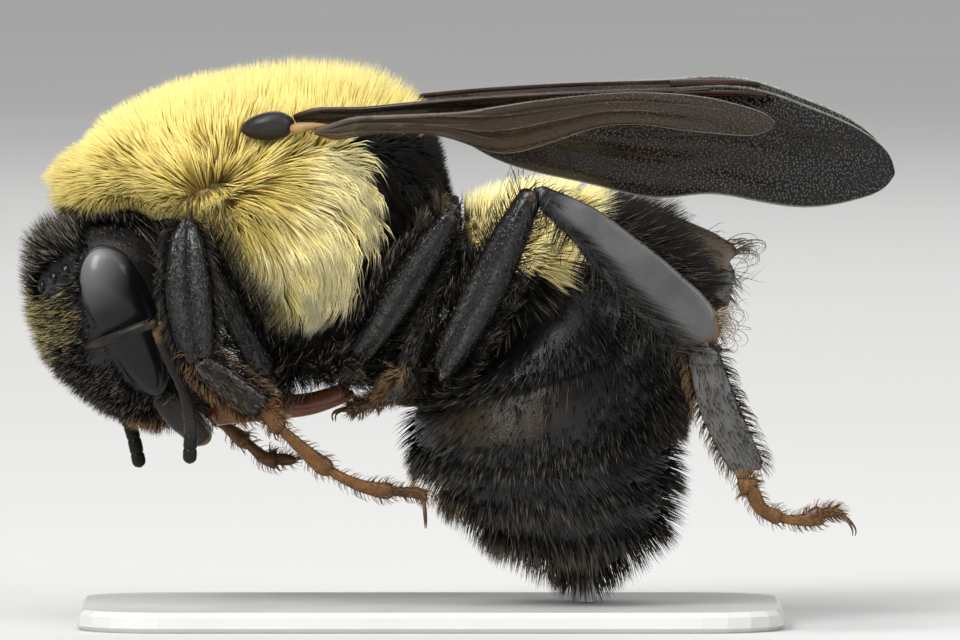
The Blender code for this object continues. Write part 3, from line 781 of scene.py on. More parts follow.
def thorax_ways(place, normal, tail):
    """The way each hair of the thorax points, how much it belongs to the flank's
    fan, and the way to the upper side of that fan's curve."""
    x, z = x_z(place, thorax_low)
    front = past(x, 3.2, -2.5)[:, None]
    collar = front * past(z, 5.9, -1.0)[:, None]
    rear = past(x, 6.8, 2.5)[:, None]
    back = normal + [[-0.45, 0, -0.2]] * front + [[-0.35, 0, -0.42]] * collar
    back += [[0.6, 0, 0.4]] * rear + [[0, 0, 0.35]] * (1 - front) * (1 - rear)
    span = SWIRL[1] - SWIRL[0]
    at = np.clip((place[:, [0, 2]] - SWIRL[0]) @ span / (span @ span), 0, 1)[:, None]
    off = place[:, [0, 2]] - SWIRL[0] - span * at
    off = np.stack([off[:, 0], 0 * x, off[:, 1]], 1)
    far = np.linalg.norm(off, axis=1)
    fan = turned(unit(off), np.clip((far - 0.7) * 0.34, 0, 0.8))
    fan = unit(fan + wander(place, 0.5, 12) * [[0.34, 0, 0.34]])
    upper = turned(fan, np.full(len(x), -1.5))
    fan -= normal * (fan * normal).sum(1, keepdims=True)
    open_share = np.clip(far / SWIRL_REACH - 0.3, 0, 1)[:, None]
    flank = unit(fan) * (0.7 + 0.3 * open_share) + normal * (0.5 - 0.22 * open_share)
    flank += wander(place, 0.25, 14) * 0.6 * (1 - open_share)
    border = 4.4 + np.clip(x - 3.84, 0, 1.1) * 0.6 + np.clip(x - 5.0, 0, 3) * 0.12
    share = 1 / (1 + np.exp((z - border) * 6))
    share = np.maximum(share, 0.5 * np.exp(-((far / 1.3) ** 2)))
    share = (share * np.clip(np.abs(normal[:, 1]) * 2.2 - 0.3, 0, 1))[:, None]
    under = np.clip((-normal[:, 2] - 0.65) * 3, 0, 1)[:, None]
    way = unit(back) * (1 - share) + unit(flank) * share
    way = unit(way * (1 - under) + unit(normal + tail * 0.7) * under)
    return way, share[:, 0] * (1 - under[:, 0]) * past(far, 0.5, 1.4), upper


def is_dark_thorax(place):
    """Underside, waist and the black band behind the wings, one side or other."""
    x, z = x_z(place, thorax_low)
    edge = wander(place, 0.6, 5)[:, 0] * 0.2
    low = z + edge < 1.3 + np.clip(x - 5.2, 0, 3)
    left = (x + edge < 3.45 + (4.0 - z) * 0.55)
    left &= z < 4.0 + 0.45 * np.clip(1.6 - x / 1.6, 0, 1)
    back = (x + edge > 7.25) & (z < 5.6)
    waist = (x + edge > 8.9) & (z < 5.9)
    return low | left | back | waist


def thorax_density(middle, along, around):
    x, z = x_z(middle, thorax_low)
    hidden = np.where((x > 9.3) & (z < 5), 0.3, 1.0)
    front = np.where(x < 1.8, 1.7, 1.0)
    puff = 1 + 0.8 * np.exp(-((x - 3.9) ** 2 + (z - 4.6) ** 2))
    return hidden * front * puff * np.where(z < 1.3, 0.8, 1.0)


def thorax_coat():
    place, normal, tail, spot = plant(thorax_grid, THORAX_HAIRS, thorax_density)
    way, flank, upper = thorax_ways(place, normal, tail)
    way = unit(way + wander(place, 0.8, 11) * (0.07 + 0.08 * flank[:, None]))
    way = unit(way + rng.normal(size=way.shape) * (0.05 + 0.02 * flank[:, None]))
    x, z = x_z(place, thorax_low)
    least = 0.25 + 0.55 * past(x, 2.0, -0.8) + 0.45 * (z < 1.3)
    least += 0.5 * past(x, 7.0, 1) * past(z, 5.6, 1)
    least += 0.55 * (z < 1.3) * past(x, 3.0, 1) * (normal[:, 2] < -0.55)
    off = place[:, [0, 2]] - CAP_PLACE
    around_cap = np.hypot(off[:, 0] / 1.0, off[:, 1] / 0.7)
    least += 0.6 * ((around_cap > 0.55) & (around_cap < 1.2) & (off.min(1) < -0.15))
    most = THORAX_LONGEST + LOCK_LONGER * flank
    length = reach(thorax_solid, place, way, least, THORAX_LONGEST + LOCK_LONGER)
    length = np.minimum(length, most)
    length *= rng.uniform(0.74, 1.14, THORAX_HAIRS)
    tips = place + way * length[:, None]
    loose, tone_a = gather(place, tips, TUFTS, 0.1, 21)
    tight, tone_b = gather(place, tips, LOCKS, 0.5, 22)
    tight, tone_c = gather(place, tight, STRANDS, 0.3, 23)
    tips = loose * (1 - flank[:, None]) + tight * flank[:, None]
    tones = tone_a * (1 - flank) + (0.6 * tone_b + 0.4 * tone_c) * flank
    bows = normal * (length * (0.03 + 0.07 * flank))[:, None]
    bows += upper * (length * (0.04 + 0.24 * tone_b) * flank)[:, None]
    radii = THORAX_RADIUS * rng.uniform(0.75, 1.2, THORAX_HAIRS) + 0.003 * flank
    dark = is_dark_thorax(place)
    tuft = dark & (np.hypot((x - 9.0) / 0.7, (z - 4.15) / 0.5) < 1)
    lock = flank > 0.35
    grow_groups((place, tips, bows, radii, spot, tones), (
        (~dark & ~lock, "pile_thorax_yellow", YELLOW_PILE, "yellow_pile"),
        (~dark & lock, "pile_thorax_locks", LOCK_PILE, "yellow_pile", 3),
        (tuft, "pile_thorax_tuft", BROWN_GLINT_PILE, "black_pile"),
        (dark & ~tuft, "pile_thorax_dark", BLACK_PILE, "black_pile"),
    ))


thorax_coat()


# ---- Eyes ----
# A long egg-shaped dome of thousands of tiny facets, seated nearly flush in the side
# of the head in a thin black rim, and three small simple eyes on the bare crown.


def points_of(node):
    return np.array([v.co[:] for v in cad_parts[node].data.vertices]) / MM


def ellipsoid_axes(node):
    """Centre, axes and half lengths of an oval solid, longest first; the first
    axis points up."""
    points = np.unique(points_of(node).round(4), axis=0)
    centre = (points.max(0) + points.min(0)) / 2
    centre = points.mean(0) * 0.5 + centre * 0.5
    _, _, axes = np.linalg.svd(points - points.mean(0), full_matrices=False)
    axes[0] *= np.sign(axes[0, 2])
    return centre, axes, np.ptp((points - centre) @ axes.T, axis=0) / 2


def egg_grid(centre, axes, halves, taper=0.0, laps=64):
    """Rings of an oval that is wider at its upper end by the taper."""
    turn = np.linspace(0, np.pi, 41)[1:-1]
    lap = lap_angles(laps)
    wide = np.sin(turn) * (1 + taper * np.cos(turn))
    long = np.outer(np.cos(turn), np.ones(laps))
    ball = np.stack([long, np.outer(wide, np.cos(lap)), np.outer(wide, np.sin(lap))], -1)
    return centre + (ball * halves) @ axes


def add_shell_piece(name, grids, finish, replaces=(), dome=0.3):
    piece = new_object(name, shell_mesh(name, grids, dome))
    piece.data.materials.append(finish)
    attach(piece, "root")
    if replaces:
        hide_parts(*replaces)
    return piece


def sunk(centre, depth):
    """A place moved towards the midline."""
    return centre + np.array([0, -depth * np.sign(centre[1]), 0])


SIDES = ("left", "right")
EYE_PAINTED_REFLECTION = (0.16, 0.16, 0.165)  # painted reflection on the upper front part of the eye


def eye_finish(name, sheen):
    """Black facets, with a painted reflection on the upper front part of the eye; sheen sets its
    strength.
    """
    made = new_finish(
        name, (0.003, 0.003, 0.004), 0.3,
        Coat_Weight=0.3, Coat_Roughness=0.12, Specular_IOR_Level=0.16,
    )
    tree = made.node_tree
    place = object_place(tree)
    cells = {"Scale": 36000, "Randomness": 0.35, "Vector": place}
    cells = add_node(tree, "TexVoronoi", cells)
    parts = add_node(tree, "SeparateXYZ", {0: place}).outputs
    # The painted reflection: lighter towards the top and the front of the eye.
    upper = plus(tree, times(tree, parts["Z"], 100.0), times(tree, noise(tree, 700, 2), 0.08))
    front = plus(tree, times(tree, parts["X"], 100.0), 1.5)
    front = ramp(tree, front, (0.69, 1.0), (0.78, 0.0))
    upper = times(tree, ramp(tree, upper, (0.8, 0.0), (0.94, sheen)), front)
    tone = mix_colours(tree, noise(tree, 500, 2), (0.002, 0.002, 0.003), (0.006, 0.006, 0.007))
    drive(made, "Base Color", mix_colours(tree, upper, tone, EYE_PAINTED_REFLECTION))
    drive(made, "Roughness", ramp(tree, noise(tree, 1200, 2), (0.3, 0.25), (0.7, 0.36)))
    set_bump(made, less(tree, 1.0, cells.outputs["Distance"]), 0.18, 0.006)
    return made


# The eyes carry the painted reflection at full strength, the simple eyes none.
EYE_FINISH = eye_finish("eye_facets", 1.0)
OCELLUS_FINISH = eye_finish("simple_eye_glass", 0.0)
RIM_FINISH = horn_finish("eye_rim_horn", (0.006, 0.006, 0.007), (0.02, 0.02, 0.02), 0.24, 20000)
EYE_SHAPE = np.array([0.985, 1.08, 0.8])  # length, width, depth: flatter than its solid
EYE_TAPER = 0.2
RIM_SHAPE = np.array([1.025, 1.14, 0.62])
RIM_SUNK = 0.06  # how much deeper than the eye its rim sits
EYE_DOME = 0.02  # how far the closed ends of these ovals stand out
OCELLI = ((1.2, 4.2), (0.91, 4.0), (0.63, 3.78))  # x and z from the head's low corner
OCELLUS_SHAPE = np.array([1, 1, 0.75]) * 0.15

eye_places = []
for side in SIDES:
    centre, axes, halves = ellipsoid_axes("eye_" + side)
    eye_places.append((centre, axes, halves))
    dome = egg_grid(centre, axes, halves * EYE_SHAPE, EYE_TAPER)
    add_shell_piece("eye_dome_" + side, [dome], EYE_FINISH, ("eye_" + side,), EYE_DOME)
    rim = egg_grid(sunk(centre, RIM_SUNK), axes, halves * RIM_SHAPE, EYE_TAPER)
    add_shell_piece("eye_rim_" + side, [rim], RIM_FINISH, (), EYE_DOME)

head_skin = BVHTree.FromPolygons(
    closed_points(head_grid).tolist(), grid_faces(len(head_grid), head_grid.shape[1])
)
ocellus_places = []
for number, (x, z) in enumerate(OCELLI):
    start = Vector((head_low[0] + x, -20.0, head_low[2] + z))
    hit, normal = head_skin.ray_cast(start, Vector((0, 1, 0)))[:2]
    ocellus_places.append(np.array(hit))
    out = np.array(normal) * (1 if normal[1] < 0 else -1)
    flat = unit(np.array([0, 0, 1]) - out[2] * out)
    axes = np.array([flat, np.cross(out, flat), out])
    glass = egg_grid(ocellus_places[-1], axes, OCELLUS_SHAPE, laps=24)
    add_shell_piece(
        "simple_eye_" + str(number + 1), [glass], OCELLUS_FINISH, (), EYE_DOME
    )


# ---- Head coat ----
# Black hair that stands up on the crown and forward on the face, with a pale
# yellow tuft above the feelers. The cheeks behind the eyes are nearly bare.

HEAD_HAIRS = 17_000
HEAD_RADIUS = 0.011
HEAD_LONGEST, CHEEK_LONGEST = 1.6, 0.2
HEAD_TUFTS = 2500
FACE_PILE = hair_finish(
    "face_yellow_pile", (0.03, 0.024, 0.008), (0.22, 0.18, 0.06), (0.5, 0.44, 0.2), 0.6, 0.5
)
GOLD_PILE = hair_finish(
    "gold_pile", (0.03, 0.017, 0.007), (0.18, 0.1, 0.035), (0.46, 0.3, 0.13), 0.7, 0.45
)
FACE_TUFT = head_low[[0, 2]] + np.array([1.05, 3.0])
head_solid = solid_of("head")


def on_cheek(places):
    x, z = x_z(places, head_low)
    return (np.abs(places[..., 1]) > 1.2) & (x > 1.75) & (z > 1.9) & (z < 5.2)


def head_density(middle, along, around):
    chosen = np.where(on_cheek(middle), 0.12, 1.0)
    for centre, axes, halves in eye_places:
        off = (middle - centre) @ axes.T / (halves * [1.0, 1.08, 1.3])
        chosen = np.where((off**2).sum(-1) < 1, 0.0, chosen)
    for centre in ocellus_places:
        chosen = np.where(np.linalg.norm(middle - centre, axis=-1) < 0.4, 0.03, chosen)
    return chosen


def head_coat():
    place, normal, _, spot = plant(head_grid, HEAD_HAIRS, head_density)
    z = place[:, 2] - head_low[2]
    crown = past(z, 4.2, 1.0)[:, None]
    chin = past(z, 1.6, -1.2)[:, None]
    flank = past(np.abs(place[:, 1]), 1.0, 1)[:, None] * (1 - crown)
    way = normal + [[-0.5, 0, 0.5]] * crown + [[0.15, 0, -0.45]] * chin
    way = way + [[-0.55, 0, -0.35]] * flank
    way = unit(unit(way) + wander(place, 0.6, 31) * 0.16 + rng.normal(size=way.shape) * 0.18)
    length = reach(head_solid, place, way, 0.35, HEAD_LONGEST)
    length *= rng.uniform(0.55, 1.25, HEAD_HAIRS)
    length = np.where(on_cheek(place), np.minimum(length, CHEEK_LONGEST), length)
    tips, tones = gather(place, place + way * length[:, None], HEAD_TUFTS, 0.15, 33)
    bows = np.array([[0.0, 0, -0.08]]) * length[:, None]
    radii = HEAD_RADIUS * rng.uniform(0.7, 1.25, HEAD_HAIRS)
    distance = np.hypot(place[:, 0] - FACE_TUFT[0], (place[:, 2] - FACE_TUFT[1]) * 0.8)
    pale = distance < 0.65 + wander(place, 0.5, 35)[:, 0] * 0.2
    pale &= rng.random(HEAD_HAIRS) < 0.5
    lip = (z < 0.75) & (rng.random(HEAD_HAIRS) < 0.5)
    # A share of the black hairs get pale tips, partly painted highlights.
    grey = ~pale & ~lip & (rng.random(HEAD_HAIRS) < 0.3)
    grow_groups((place, tips, bows, radii, spot, tones), (
        (pale, "pile_face_yellow", FACE_PILE, "yellow_pile"),
        (lip, "pile_face_gold", GOLD_PILE, "brown_shell"),
        (grey, "pile_head_grey", BROWN_GLINT_PILE, "black_pile"),
        (~pale & ~lip & ~grey, "pile_head_black", BLACK_PILE, "black_pile"),
    ))


head_coat()


# ---- Abdomen coat ----
# The first ring is yellow. The others carry black-brown bristles, long and dense
# on the back and in a fringe along each rear edge, sparse on the shiny flanks.

ABDOMEN_HAIRS = 34_000
ABDOMEN_RADIUS, RING_THICKER = 0.0115, 0.006  # on the yellow ring they are thicker
ABDOMEN_LONGEST = 1.9
ABDOMEN_TUFTS = 9000
RING_PILE = hair_finish(
    "ring_pile", (0.5, 0.36, 0.09), (0.9, 0.76, 0.28), (1.0, 0.92, 0.52), 0.5, 0.45, 0.4, 0.2
)
abdomen_solid = solid_of(*ABDOMEN_NODES)


def yellow_ring(place):
    """The yellow of the first ring, which ends above its lower flank."""
    x, z = x_z(place, abdomen_low)
    return z > 8.55 - 0.37 * (x - 1.63) + wander(place, 0.7, 45)[:, 0] * 0.12


def abdomen_parts(along, around):
    """The segment, the place within it, and how much of back and belly it is."""
    rings = len(abdomen_grid) - 1
    ring = np.minimum((along * rings).astype(int), rings)
    lap = lap_cos(around)
    return ring_segment[ring], ring_within[ring], np.clip(lap, 0, 1), np.clip(-lap, 0, 1)


def abdomen_density(middle, along, around):
    number, within, back, belly = abdomen_parts(along, around)
    fringe = 0.16 + 1.5 * np.clip((within - 0.5) * 2.4, 0, 1)
    chosen = fringe * (1 + 0.5 * belly) + 2.2 * back**2 * (number < 3)
    chosen = np.where(number == 0, 3.0, chosen)
    chosen = np.where(number >= 3, 0.2 + chosen * 0.7, chosen)
    return np.where(within >= 0.99, 0.0, chosen)


def abdomen_coat():
    place, normal, tail, spot = plant(abdomen_grid, ABDOMEN_HAIRS, abdomen_density)
    number, within, back, belly = abdomen_parts(spot[:, 1], spot[:, 0])
    flank = np.clip(1 - back - belly, 0, 1)
    last = np.clip(number - 2 + within, 0, 3) / 3
    first = number == 0
    lift = np.where(first, 0.85 - 0.4 * flank, 0.5 + 0.6 * back + 0.4 * belly + 0.45 * last)
    along = 1.0 - 0.3 * back - 0.25 * belly - 0.15 * last
    along = np.where(first, 0.15 + 0.6 * within + 0.35 * flank, along)
    way = unit(normal * lift[:, None] + tail * along[:, None])
    way = unit(way + wander(place, 1.2, 41) * 0.07 + rng.normal(size=way.shape) * 0.05)
    least = 0.45 + 0.3 * last + 0.35 * first * belly
    length = reach(abdomen_solid, place, way, least, ABDOMEN_LONGEST)
    length *= rng.uniform(0.72, 1.2, ABDOMEN_HAIRS)
    length *= 1 - 0.5 * (flank * (number > 0) * (number < 3) * (1 - within))
    tips, tones = gather(place, place + way * length[:, None], ABDOMEN_TUFTS, 0.06, 43)
    bows = normal * (length * 0.06)[:, None]
    radii = ABDOMEN_RADIUS * rng.uniform(0.75, 1.3, ABDOMEN_HAIRS) + RING_THICKER * first
    yellow = first & yellow_ring(place)
    front = past(place[:, 0] - abdomen_low[0], 2.2, -1.5)
    golden = ~yellow & (rng.random(ABDOMEN_HAIRS) < 0.6 * belly * front * (number >= 3))
    # Brown-tipped hairs on the flanks and rear rings, partly painted highlights.
    brown = rng.random(ABDOMEN_HAIRS) < (0.22 + 0.65 * last) * (1 - 0.9 * back)
    brown &= ~yellow & ~golden
    grow_groups((place, tips, bows, radii, spot, tones), (
        (yellow, "pile_abdomen_yellow", RING_PILE, "yellow_pile"),
        (golden, "pile_abdomen_gold", GOLD_PILE, "black_pile"),
        (brown, "pile_abdomen_brown", BROWN_GLINT_PILE, "black_pile"),
        (~yellow & ~golden & ~brown, "pile_abdomen_black", BLACK_PILE, "black_pile"),
    ))


def mark_shell():
    """Stores where the shell under the coat is yellow, and where its brown-gold sheen is painted.
    """
    grids = (thorax_grid, abdomen_grid, head_grid)
    owners = np.concatenate([np.full(g[..., 0].size, i) for i, g in enumerate(grids)])
    tree = nearest(np.vstack([g.reshape(-1, 3) for g in grids]))
    places = np.array([v.co[:] for v in body_shell.data.vertices]) / MM
    owner = owners[[tree.find(p)[1] for p in places.tolist()]]
    yellow = (owner == 0) & ~is_dark_thorax(places)
    x, z = x_z(places, abdomen_low)
    yellow |= (owner == 1) & yellow_ring(places) & (x < 4.4) & (z > 6.6)
    # The painted sheen: a soft oval on the lower flank of the third ring.
    painted_sheen = np.hypot((x - 2.7) / 1.3, (z - 4.4 - 0.2 * (x - 2.7)) / 0.5)
    store_values(body_shell.data, "yellow", yellow)
    store_values(body_shell.data, "painted_sheen", np.clip(1.6 - painted_sheen, 0, 1) * (owner == 1))


abdomen_coat()
mark_shell()


# ---- Legs ----
# Six jointed legs of black horn, a little thinner than their solids: femur, tibia, a
# flat first foot joint, four small brown ones and two hooked claws. The hind tibia is
# the pollen basket, smooth and bare outside between two long fringes; the grey of its
# plate is a painted sheen on black horn.

LEGS = ("foreleg", "midleg", "hindleg")
LEG_PARTS = ("coxa", "femur", "tibia", "basitarsus", "tarsus")
LEG_SLIM = {"coxa": 0.92, "femur": 0.92, "tibia": 0.92, "basitarsus": 0.9, "tarsus": 0.72}
LEG_FLAT = 0.9  # how much thinner still from face to face
HIND_FLAT = 0.62  # and the hind tibia and first foot joint
LEG_BRISTLES = {  # how many, and the shortest and longest, on the faces and the edges
    "coxa": (900, (0.35, 0.85), (0.4, 1.1)),
    "femur": (1200, (0.12, 0.24), (0.3, 0.75)),
    "tibia": (1500, (0.1, 0.22), (0.25, 0.5)),
    "basitarsus": (1300, (0.14, 0.28), (0.25, 0.5)),
    "tarsus": (190, (0.1, 0.2), (0.14, 0.3)),
}
FAR_SHARE = 0.6  # the far legs are a little less hairy
FORE_FEMUR_HAIR = 2.3  # how much longer the hairs of the front femur are
TIBIA_END = 0.93  # where the denser and longer hairs at a tibia's end begin
BRISTLE_RADII = (0.0055, 0.0095)
FURROW = 0.7  # the depth of a tibia's furrow, of half its thickness
# Painted highlight: the light grey laid on two bands beside a leg joint's furrow.
PAINTED_RIDGE_HIGHLIGHT = (0.075, 0.073, 0.07)
BRISTLE_LOOKS = {
    "gold": (GOLD_PILE, "brown_shell"),
    "brown": (BROWN_GLINT_PILE, "black_pile"),
    "black": (BLACK_PILE, "black_pile"),
}


def measured(node, before, count=28):
    """Middle line, half widths, half depths and the way of the width, from the
    end that touches the node before it."""
    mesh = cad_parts[node].data
    mesh.calc_loop_triangles()
    points = points_of(node)
    faces = np.array([t.vertices[:] for t in mesh.loop_triangles])
    a, b, c = (points[faces[:, k]] for k in range(3))
    area = np.linalg.norm(np.cross(b - a, c - a), axis=1)
    middles = points[faces].mean(1)
    centre = np.average(middles, axis=0, weights=area)
    off = middles - centre
    _, ways = np.linalg.eigh((off.T * area) @ off)
    long_way, wide, thin = ways[:, 2], ways[:, 1], ways[:, 0]
    height = (points - centre) @ long_way
    ends = [centre + long_way * height.min(), centre + long_way * height.max()]
    others = points_of(before)
    gaps = [np.linalg.norm(others - end, axis=1).min() for end in ends]
    if gaps[1] < gaps[0]:
        long_way = -long_way
    wide = wide if wide[2] + 0.3 * wide[0] > 0 else -wide
    pairs = np.unique(np.sort(faces[:, [0, 1, 1, 2, 2, 0]].reshape(-1, 2), 1), axis=0)
    a, b = points[pairs[:, 0]] - centre, points[pairs[:, 1]] - centre
    high_a, high_b = a @ long_way, b @ long_way
    low, high = min(high_a.min(), high_b.min()), max(high_a.max(), high_b.max())
    t = (1 - np.cos(np.pi * np.linspace(0.02, 0.98, count))) / 2
    line, halves = [], []
    for level in low + (high - low) * t:
        cut = (high_a - level) * (high_b - level) < 0
        share = ((level - high_a[cut]) / (high_b[cut] - high_a[cut]))[:, None]
        section = a[cut] + (b[cut] - a[cut]) * share
        w, d = section @ wide, section @ thin
        middle = wide * (w.max() + w.min()) / 2 + thin * (d.max() + d.min()) / 2
        line.append(centre + long_way * level + middle)
        halves.append((np.ptp(w) / 2, np.ptp(d) / 2))
    line, halves = np.array(line), np.array(halves)
    for values in (line, halves):
        values[1:-1] = (values[:-2] + 2 * values[1:-1] + values[2:]) / 4
    return line, halves[:, 0], halves[:, 1], wide


def finer(values, times):
    """Values between the given ones, on a smooth curve."""
    column = values[:, None] if values.ndim == 1 else values
    made = smooth_rows(column, times)
    return made[:, 0] if values.ndim == 1 else made


def limb_grid(line, widths, depths, wide, sides=24, fullness=2.0):
    """Rings around a middle line; the first lie towards the wide way."""
    tangent = unit(np.gradient(line, axis=0))
    across = unit(wide - tangent * (tangent @ wide)[:, None])
    other = np.cross(tangent, across)
    c, s = full_oval(lap_angles(sides), fullness)
    aside = across[:, None] * (widths[:, None] * c)[..., None]
    return line[:, None] + aside + other[:, None] * (depths[:, None] * s)[..., None]


def tube_grid(line, radii, sides=12):
    radii = np.asarray(radii, float)
    return limb_grid(line, radii, radii, np.array([0.1, 0.9, 0.2]), sides)


def leg_finish(name, ends, *colours, lower_edge=False, ridge_highlight=0.0, inner=None, **settings):
    """Leg horn whose colour changes along the joint: ends are the shares where
    the second colour begins and where the third does. The lower edge may be dark,
    the two bands beside the furrow may carry a painted highlight, the face to the body may be
    paler."""
    made = horn_finish(name, *colours[1], **settings)
    tree, tone = made.node_tree, base_tone(made)
    edge = read(tree, "across")
    cloud = times(tree, noise(tree, 1500, 3), 0.1)
    share = plus(tree, read(tree, "share"), less(tree, cloud, 0.05))
    first = ramp(tree, share, (ends[0] - 0.05, 1.0), (ends[0] + 0.05, 0.0))
    tone = mix_colours(tree, first, tone, colours[0])
    third = ramp(tree, share, (ends[1] - 0.05, 0.0), (ends[1] + 0.05, 1.0))
    tone = mix_colours(tree, third, tone, colours[2])
    # Painted highlight: two speckled lighter bands along the faces, fading towards the joint's
    # end.
    if ridge_highlight:
        aside = math_node(tree, "ABSOLUTE", less(tree, times(tree, edge, 2.0), 1.0))
        ridge_glint = ramp(tree, aside, (0.15, 0.0), (0.36, ridge_highlight))
        ridge_glint = times(tree, ridge_glint, ramp(tree, aside, (0.42, 1.0), (0.75, 0.0)))
        ridge_glint = times(tree, ridge_glint, ramp(tree, share, (0.35, 1.0), (0.85, 0.15)))
        speckle = ramp(tree, noise(tree, 14000, 3, 0.7), (0.44, 0.1), (0.56, 1.0))
        tone = mix_colours(tree, times(tree, ridge_glint, speckle), tone, PAINTED_RIDGE_HIGHLIGHT)
    if lower_edge:
        tone = mix_colours(tree, ramp(tree, edge, (0.32, 1.0), (0.46, 0.0)), tone, colours[0])
    if inner:
        tone = mix_colours(tree, read(tree, "inner"), tone, inner)
    drive(made, "Base Color", tone)
    return made


LEG_HORN = leg_finish(
    "leg_horn", (0.02, 0.97), (0.03, 0.02, 0.014), ((0.004, 0.004, 0.004), (0.011, 0.01, 0.01)),
    (0.09, 0.05, 0.028), roughness=0.22, pits=12000, strength=1.3, gloss=0.32, ridge_highlight=0.9,
)
COXA_HORN = horn_finish("coxa_horn", (0.015, 0.008, 0.005), (0.05, 0.025, 0.014), 0.2, 9000, 0.15)
# The basket's bare plate is grey, a painted sheen on black horn; black near the knee and on the
# hairy lower edge, orange at the end, tan on the face to the body.
BASKET_SHEEN_HORN = leg_finish(
    "basket_sheen_horn", (0.2, 0.96), (0.008, 0.008, 0.008),
    ((0.055, 0.055, 0.055), (0.085, 0.084, 0.082)), (0.12, 0.055, 0.02),
    roughness=0.34, pits=26000, strength=0.22, gloss=0.5, lower_edge=True,
    inner=(0.17, 0.135, 0.1),
)
HIND_FOOT_HORN = leg_finish(
    "hind_foot_horn", (0.02, 0.9), (0.02, 0.015, 0.01),
    ((0.06, 0.06, 0.058), (0.1, 0.098, 0.095)), (0.25, 0.12, 0.035),
    roughness=0.3, pits=22000, strength=0.6, gloss=0.6,
)
FOOT_HORN = horn_finish("foot_horn", (0.045, 0.018, 0.006), (0.22, 0.1, 0.028), 0.38, 20000)
PART_HORN = dict(zip(LEG_PARTS, (COXA_HORN, LEG_HORN, LEG_HORN, LEG_HORN, FOOT_HORN)))
HIND_HORN = PART_HORN | {"tibia": BASKET_SHEEN_HORN, "basitarsus": HIND_FOOT_HORN}


def foot_grids(line, widths, depths, wide):
    """Four joints, each widening to its end, then two curved claws."""
    line, widths, depths = finer(line, 3), finer(widths, 3), finer(depths, 3)
    cuts = np.linspace(0, len(line) - 1, 5).astype(int)
    grids = []
    for a, b in zip(cuts[:-1], cuts[1:]):
        part = slice(max(0, a - 2), b + 1)
        t = np.linspace(0, 1, part.stop - part.start)
        swell = (0.5 + 0.6 * t**1.5) * np.sqrt(1 - np.clip((t - 0.86) / 0.15, 0, 0.99) ** 2)
        grids.append(limb_grid(line[part], widths[part] * swell, depths[part] * swell, wide, 16))
    end, way = line[-1], unit(line[-1] - line[-6])
    side = unit(np.cross(way, wide))
    bend = np.linspace(0, 1, 9)[:, None]
    for sign in (-1, 1):
        hook = end - way * 0.08 + way * 0.42 * np.sin(bend * 1.9)
        hook = hook + side * sign * 0.16 * np.sin(bend * 2.4) - np.array([[0, 0, 0.3]]) * bend**2
        grids.append(tube_grid(hook, 0.05 * (1 - bend[:, 0] * 0.85), 8))
    return grids


def add_horn(node, grids, finish):
    """A horny joint in the place of its solid. It stores how far along it each point
    lies, how near its upper edge, and whether it is on the face to the body."""
    marks = {"share": [], "across": [], "inner": []}
    for grid in grids:
        rings, sides = grid.shape[:2]
        lap = np.cos(lap_angles(sides)) / 2 + 0.5
        marks["share"] += [np.repeat(np.linspace(0, 1, rings), sides), [0, 1]]
        marks["across"] += [np.tile(lap, rings), [0.5, 0.5]]
        y = grid[..., 1] * np.sign(grid[..., 1].mean())
        inner = np.clip((y.mean(1, keepdims=True) - y) / 0.08, 0, 1)
        marks["inner"] += [inner.ravel(), [0, 0]]
    piece = add_shell_piece(node + "_horn", grids, finish, (node,))
    for label, values in marks.items():
        store_values(piece.data, label, np.concatenate(values))


def grooved(grid):
    """A long furrow down the middle of both faces of a joint."""
    middle = grid.mean(1, keepdims=True)
    lap = np.cos(lap_angles(grid.shape[1]))
    deep = np.outer(np.sin(np.pi * np.linspace(0.06, 1, len(grid))), np.exp(-((lap / 0.3) ** 2)))
    return middle + (grid - middle) * (1 - FURROW * deep)[..., None]


def add_joint(leg, part, node, before):
    """Builds one joint and returns the grids that bristles stand on."""
    line, widths, depths, wide = measured(node, before)
    widths, depths = widths * LEG_SLIM[part], depths * LEG_SLIM[part] * LEG_FLAT
    if part == "tarsus":
        grids = foot_grids(line, widths, depths, wide)
    else:
        line[0] = line[0] + unit(line[0] - line[3]) * 0.1
        if leg == "hindleg" and part in ("tibia", "basitarsus"):
            depths = depths * HIND_FLAT
        fullness = 2.0 if part in ("coxa", "femur") else 2.5
        line, widths, depths = finer(line, 2), finer(widths, 2), finer(depths, 2)
        grids = [limb_grid(line, widths, depths, wide, 32, fullness)]
        if part == "tibia" and leg != "hindleg":
            grids = [grooved(grids[0])]
    finish = (HIND_HORN if leg == "hindleg" else PART_HORN)[part]
    add_horn(node, grids, finish)
    return grids[:4]


leg_shapes = {}
for leg in LEGS:
    for side in SIDES:
        before = "thorax"
        for part in LEG_PARTS:
            node = "_".join((leg, side, part))
            leg_shapes[node] = add_joint(leg, part, node, before)
            before = node


